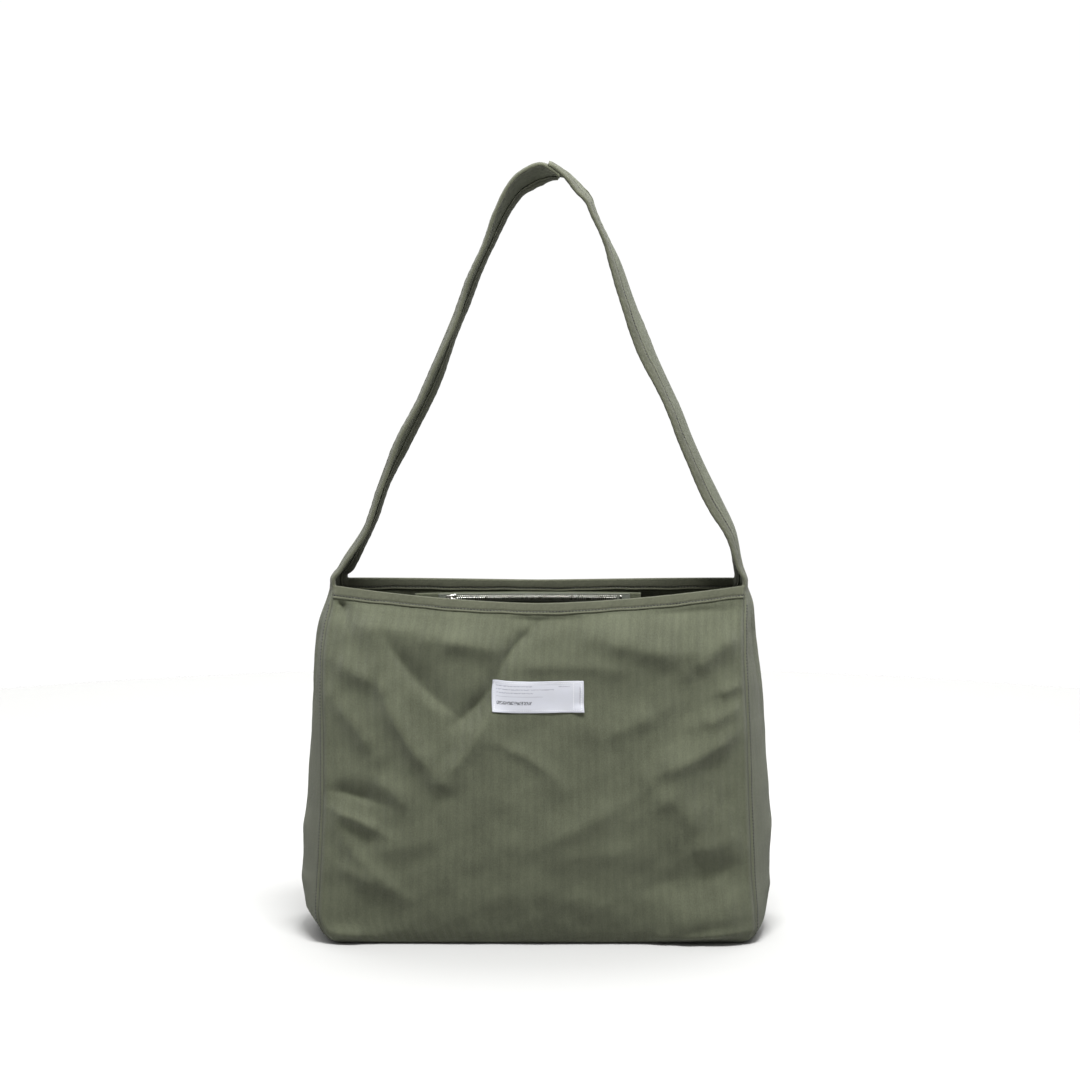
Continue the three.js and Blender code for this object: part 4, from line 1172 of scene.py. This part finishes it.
# slider: two plates joined at the nose, and the bridge that holds the pull, with its bar on the pull's hinge
seatFrame = frameOnBack(zipper["left"] + slider["long"] / 2, zipper["up"], zipper["away"] + 0.3)
hinge = next(j for j in frame["joints"] if j["name"] == "zip_pull_swing")
hingePlace = Vector(hinge["pos_m"]) - Vector((*bag["middle"], 0)) * mm
barOut = (seatFrame.inverted() @ hingePlace).z / mm
long, thick = slider["long"], slider["thick"]
bm = bmesh.new()
for level in (0.5, thick - 0.5):
    addBlock(bm, (long, slider["tall"], 1.0), (0, 0, level), 0.3, taper=slider["nose"])
addBlock(bm, (2.4, 3.0, thick - 0.6), (1.6 - long / 2, 0, thick / 2), 0.3)
for x in (1.7 - long / 2, long / 2 - 1.7):
    addBlock(bm, (1.5, 1.7, barOut + 0.9 - thick), (x, 0, (barOut + 0.1 + thick) / 2), 0.4)
addBlock(bm, (long - 2.0, 1.2, 1.1), (0, 0, barOut), 0.35)
bmesh.ops.transform(bm, verts=bm.verts, matrix=seatFrame)
sliderPiece = finishMesh(bm, "slider", nickel)
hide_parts("zip_slider")

# pull: a tab that narrows at its foot, a neck and a rolled eye, hung plumb from the hinge of the frame
bm = bmesh.new()
tall = slider["pullLong"]
addBlock(bm, (slider["pullWide"], tall - 5, slider["pullThick"]), (0, -2.5 - tall / 2, 0), 0.4)
bmesh.ops.scale(bm, verts=[v for v in bm.verts if v.co.y < -0.8 * tall * mm], vec=(0.75, 1, 1))
addBlock(bm, (2.6, 4.2, slider["pullThick"] - 0.05), (0, -3.6, 0), 0.3)
ring = bmesh.ops.create_circle(bm, cap_ends=False, segments=20, radius=slider["eye"] * mm)["verts"]
bmesh.ops.rotate(bm, verts=ring, matrix=Matrix.Rotation(math.pi / 2, 3, "Y"))
ringEdges = [e for e in bm.edges if e.verts[0] in ring]
rolled = bmesh.ops.extrude_edge_only(bm, edges=ringEdges)["geom"]
farRing = [v for v in rolled if isinstance(v, bmesh.types.BMVert)]
bmesh.ops.translate(bm, verts=farRing, vec=(3.4 * mm, 0, 0))
eye = ring + farRing
bmesh.ops.translate(bm, verts=eye, vec=(-1.7 * mm, 0, 0))
bmesh.ops.solidify(bm, geom=[f for f in bm.faces if f.verts[0] in eye], thickness=0.75 * mm)
bmesh.ops.recalc_face_normals(bm, faces=bm.faces)
axis = Vector(hinge["axis"])
pullFrame = frameOf(hingePlace, -axis, Vector((0, 0, 1)).cross(axis))
bmesh.ops.transform(bm, verts=bm.verts, matrix=pullFrame)
pullPiece = finishMesh(bm, "pull", nickel, "zip_pull")
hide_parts("zip_pull")
print("slider and pull made")

# floor, light and camera
studio = {
    "skyLow": 0.10,  # brightness of the room at the sides and overhead
    "skyTop": 0.95,
    "backdrop": 1.02,  # brightness of the wall behind the bag and of the one in front of it
    "front": 0.6,
    "key": 122.0,  # watts
    "floor": "#a6a6a5",
    "floorRadius": 1.7,  # metres, as the next two
    "distance": 3.5,
    "eyeHeight": 0.832,
    "pitch": 6.98,  # degrees down
    "focal": 3454 / 1080 * 36,  # the photograph's focal length in its own pixels, for a sensor 36 mm wide
}
paper, tree, shader = newMaterial("matt white paper")
feed(tree, shader, {"Base Color": linear(studio["floor"]), "Roughness": 1.0})
bm = bmesh.new()
bmesh.ops.create_circle(bm, cap_ends=True, segments=96, radius=studio["floorRadius"])
floor = finishMesh(bm, "floor", paper)

world = bpy.data.worlds.new("studio")
bpy.context.scene.world = world
world.use_nodes = True
tree = world.node_tree
# a white backdrop all round at eye height, soft light from overhead and a dim room between them
toward = addNode(tree, "SeparateXYZ", {0: addNode(tree, "TexCoord", {})}).outputs
inputs = {0: toward[2], 1: 0.25, 2: 0.75, 3: studio["skyLow"], 4: studio["skyTop"]}
overhead = addNode(tree, "MapRange", inputs, interpolation_type="SMOOTHSTEP")
behind = addNode(tree, "MapRange", {0: toward[1], 1: -0.3, 2: 0.4, 3: studio["front"], 4: studio["backdrop"]})
around = addNode(tree, "MapRange", {0: toward[2], 1: 0.16, 2: 0.22, 3: behind, 4: 0.0})
strength = addNode(tree, "Math", {0: overhead, 1: around}, operation="MAXIMUM")
feed(tree, tree.nodes["Background"], {"Color": (1, 1, 1, 1), "Strength": strength})


def softBox(name, place, aim, size, power):
    light = bpy.data.lights.new(name, "AREA")
    light.shape = "RECTANGLE"
    light.size, light.size_y = size
    light.energy = power
    obj = bpy.data.objects.new(name, light)
    obj.location = place
    obj.rotation_euler = (Vector(aim) - Vector(place)).to_track_quat("-Z", "Y").to_euler()
    bpy.context.scene.collection.objects.link(obj)


softBox("key softbox", (0.15, -1.0, 2.5), (0, 0, 0.35), (0.9, 0.6), studio["key"])
softBox("floor light", (0, 1.9, 2.8), (0, 1.3, 0), (5.0, 2.6), studio["key"] * 1.3)

camera = bpy.data.objects.new("camera", bpy.data.cameras.new("camera"))
camera.data.lens = studio["focal"]
camera.data.sensor_width = 36
camera.data.clip_end = 100
camera.location = (bag["middle"][0] * mm, -studio["distance"] + bag["middle"][1] * mm, studio["eyeHeight"])
camera.rotation_euler = (math.radians(90 - studio["pitch"]), 0, 0)
bpy.context.scene.collection.objects.link(camera)
bpy.context.scene.camera = camera
bpy.context.scene.view_settings.view_transform = "Standard"
print("studio made")
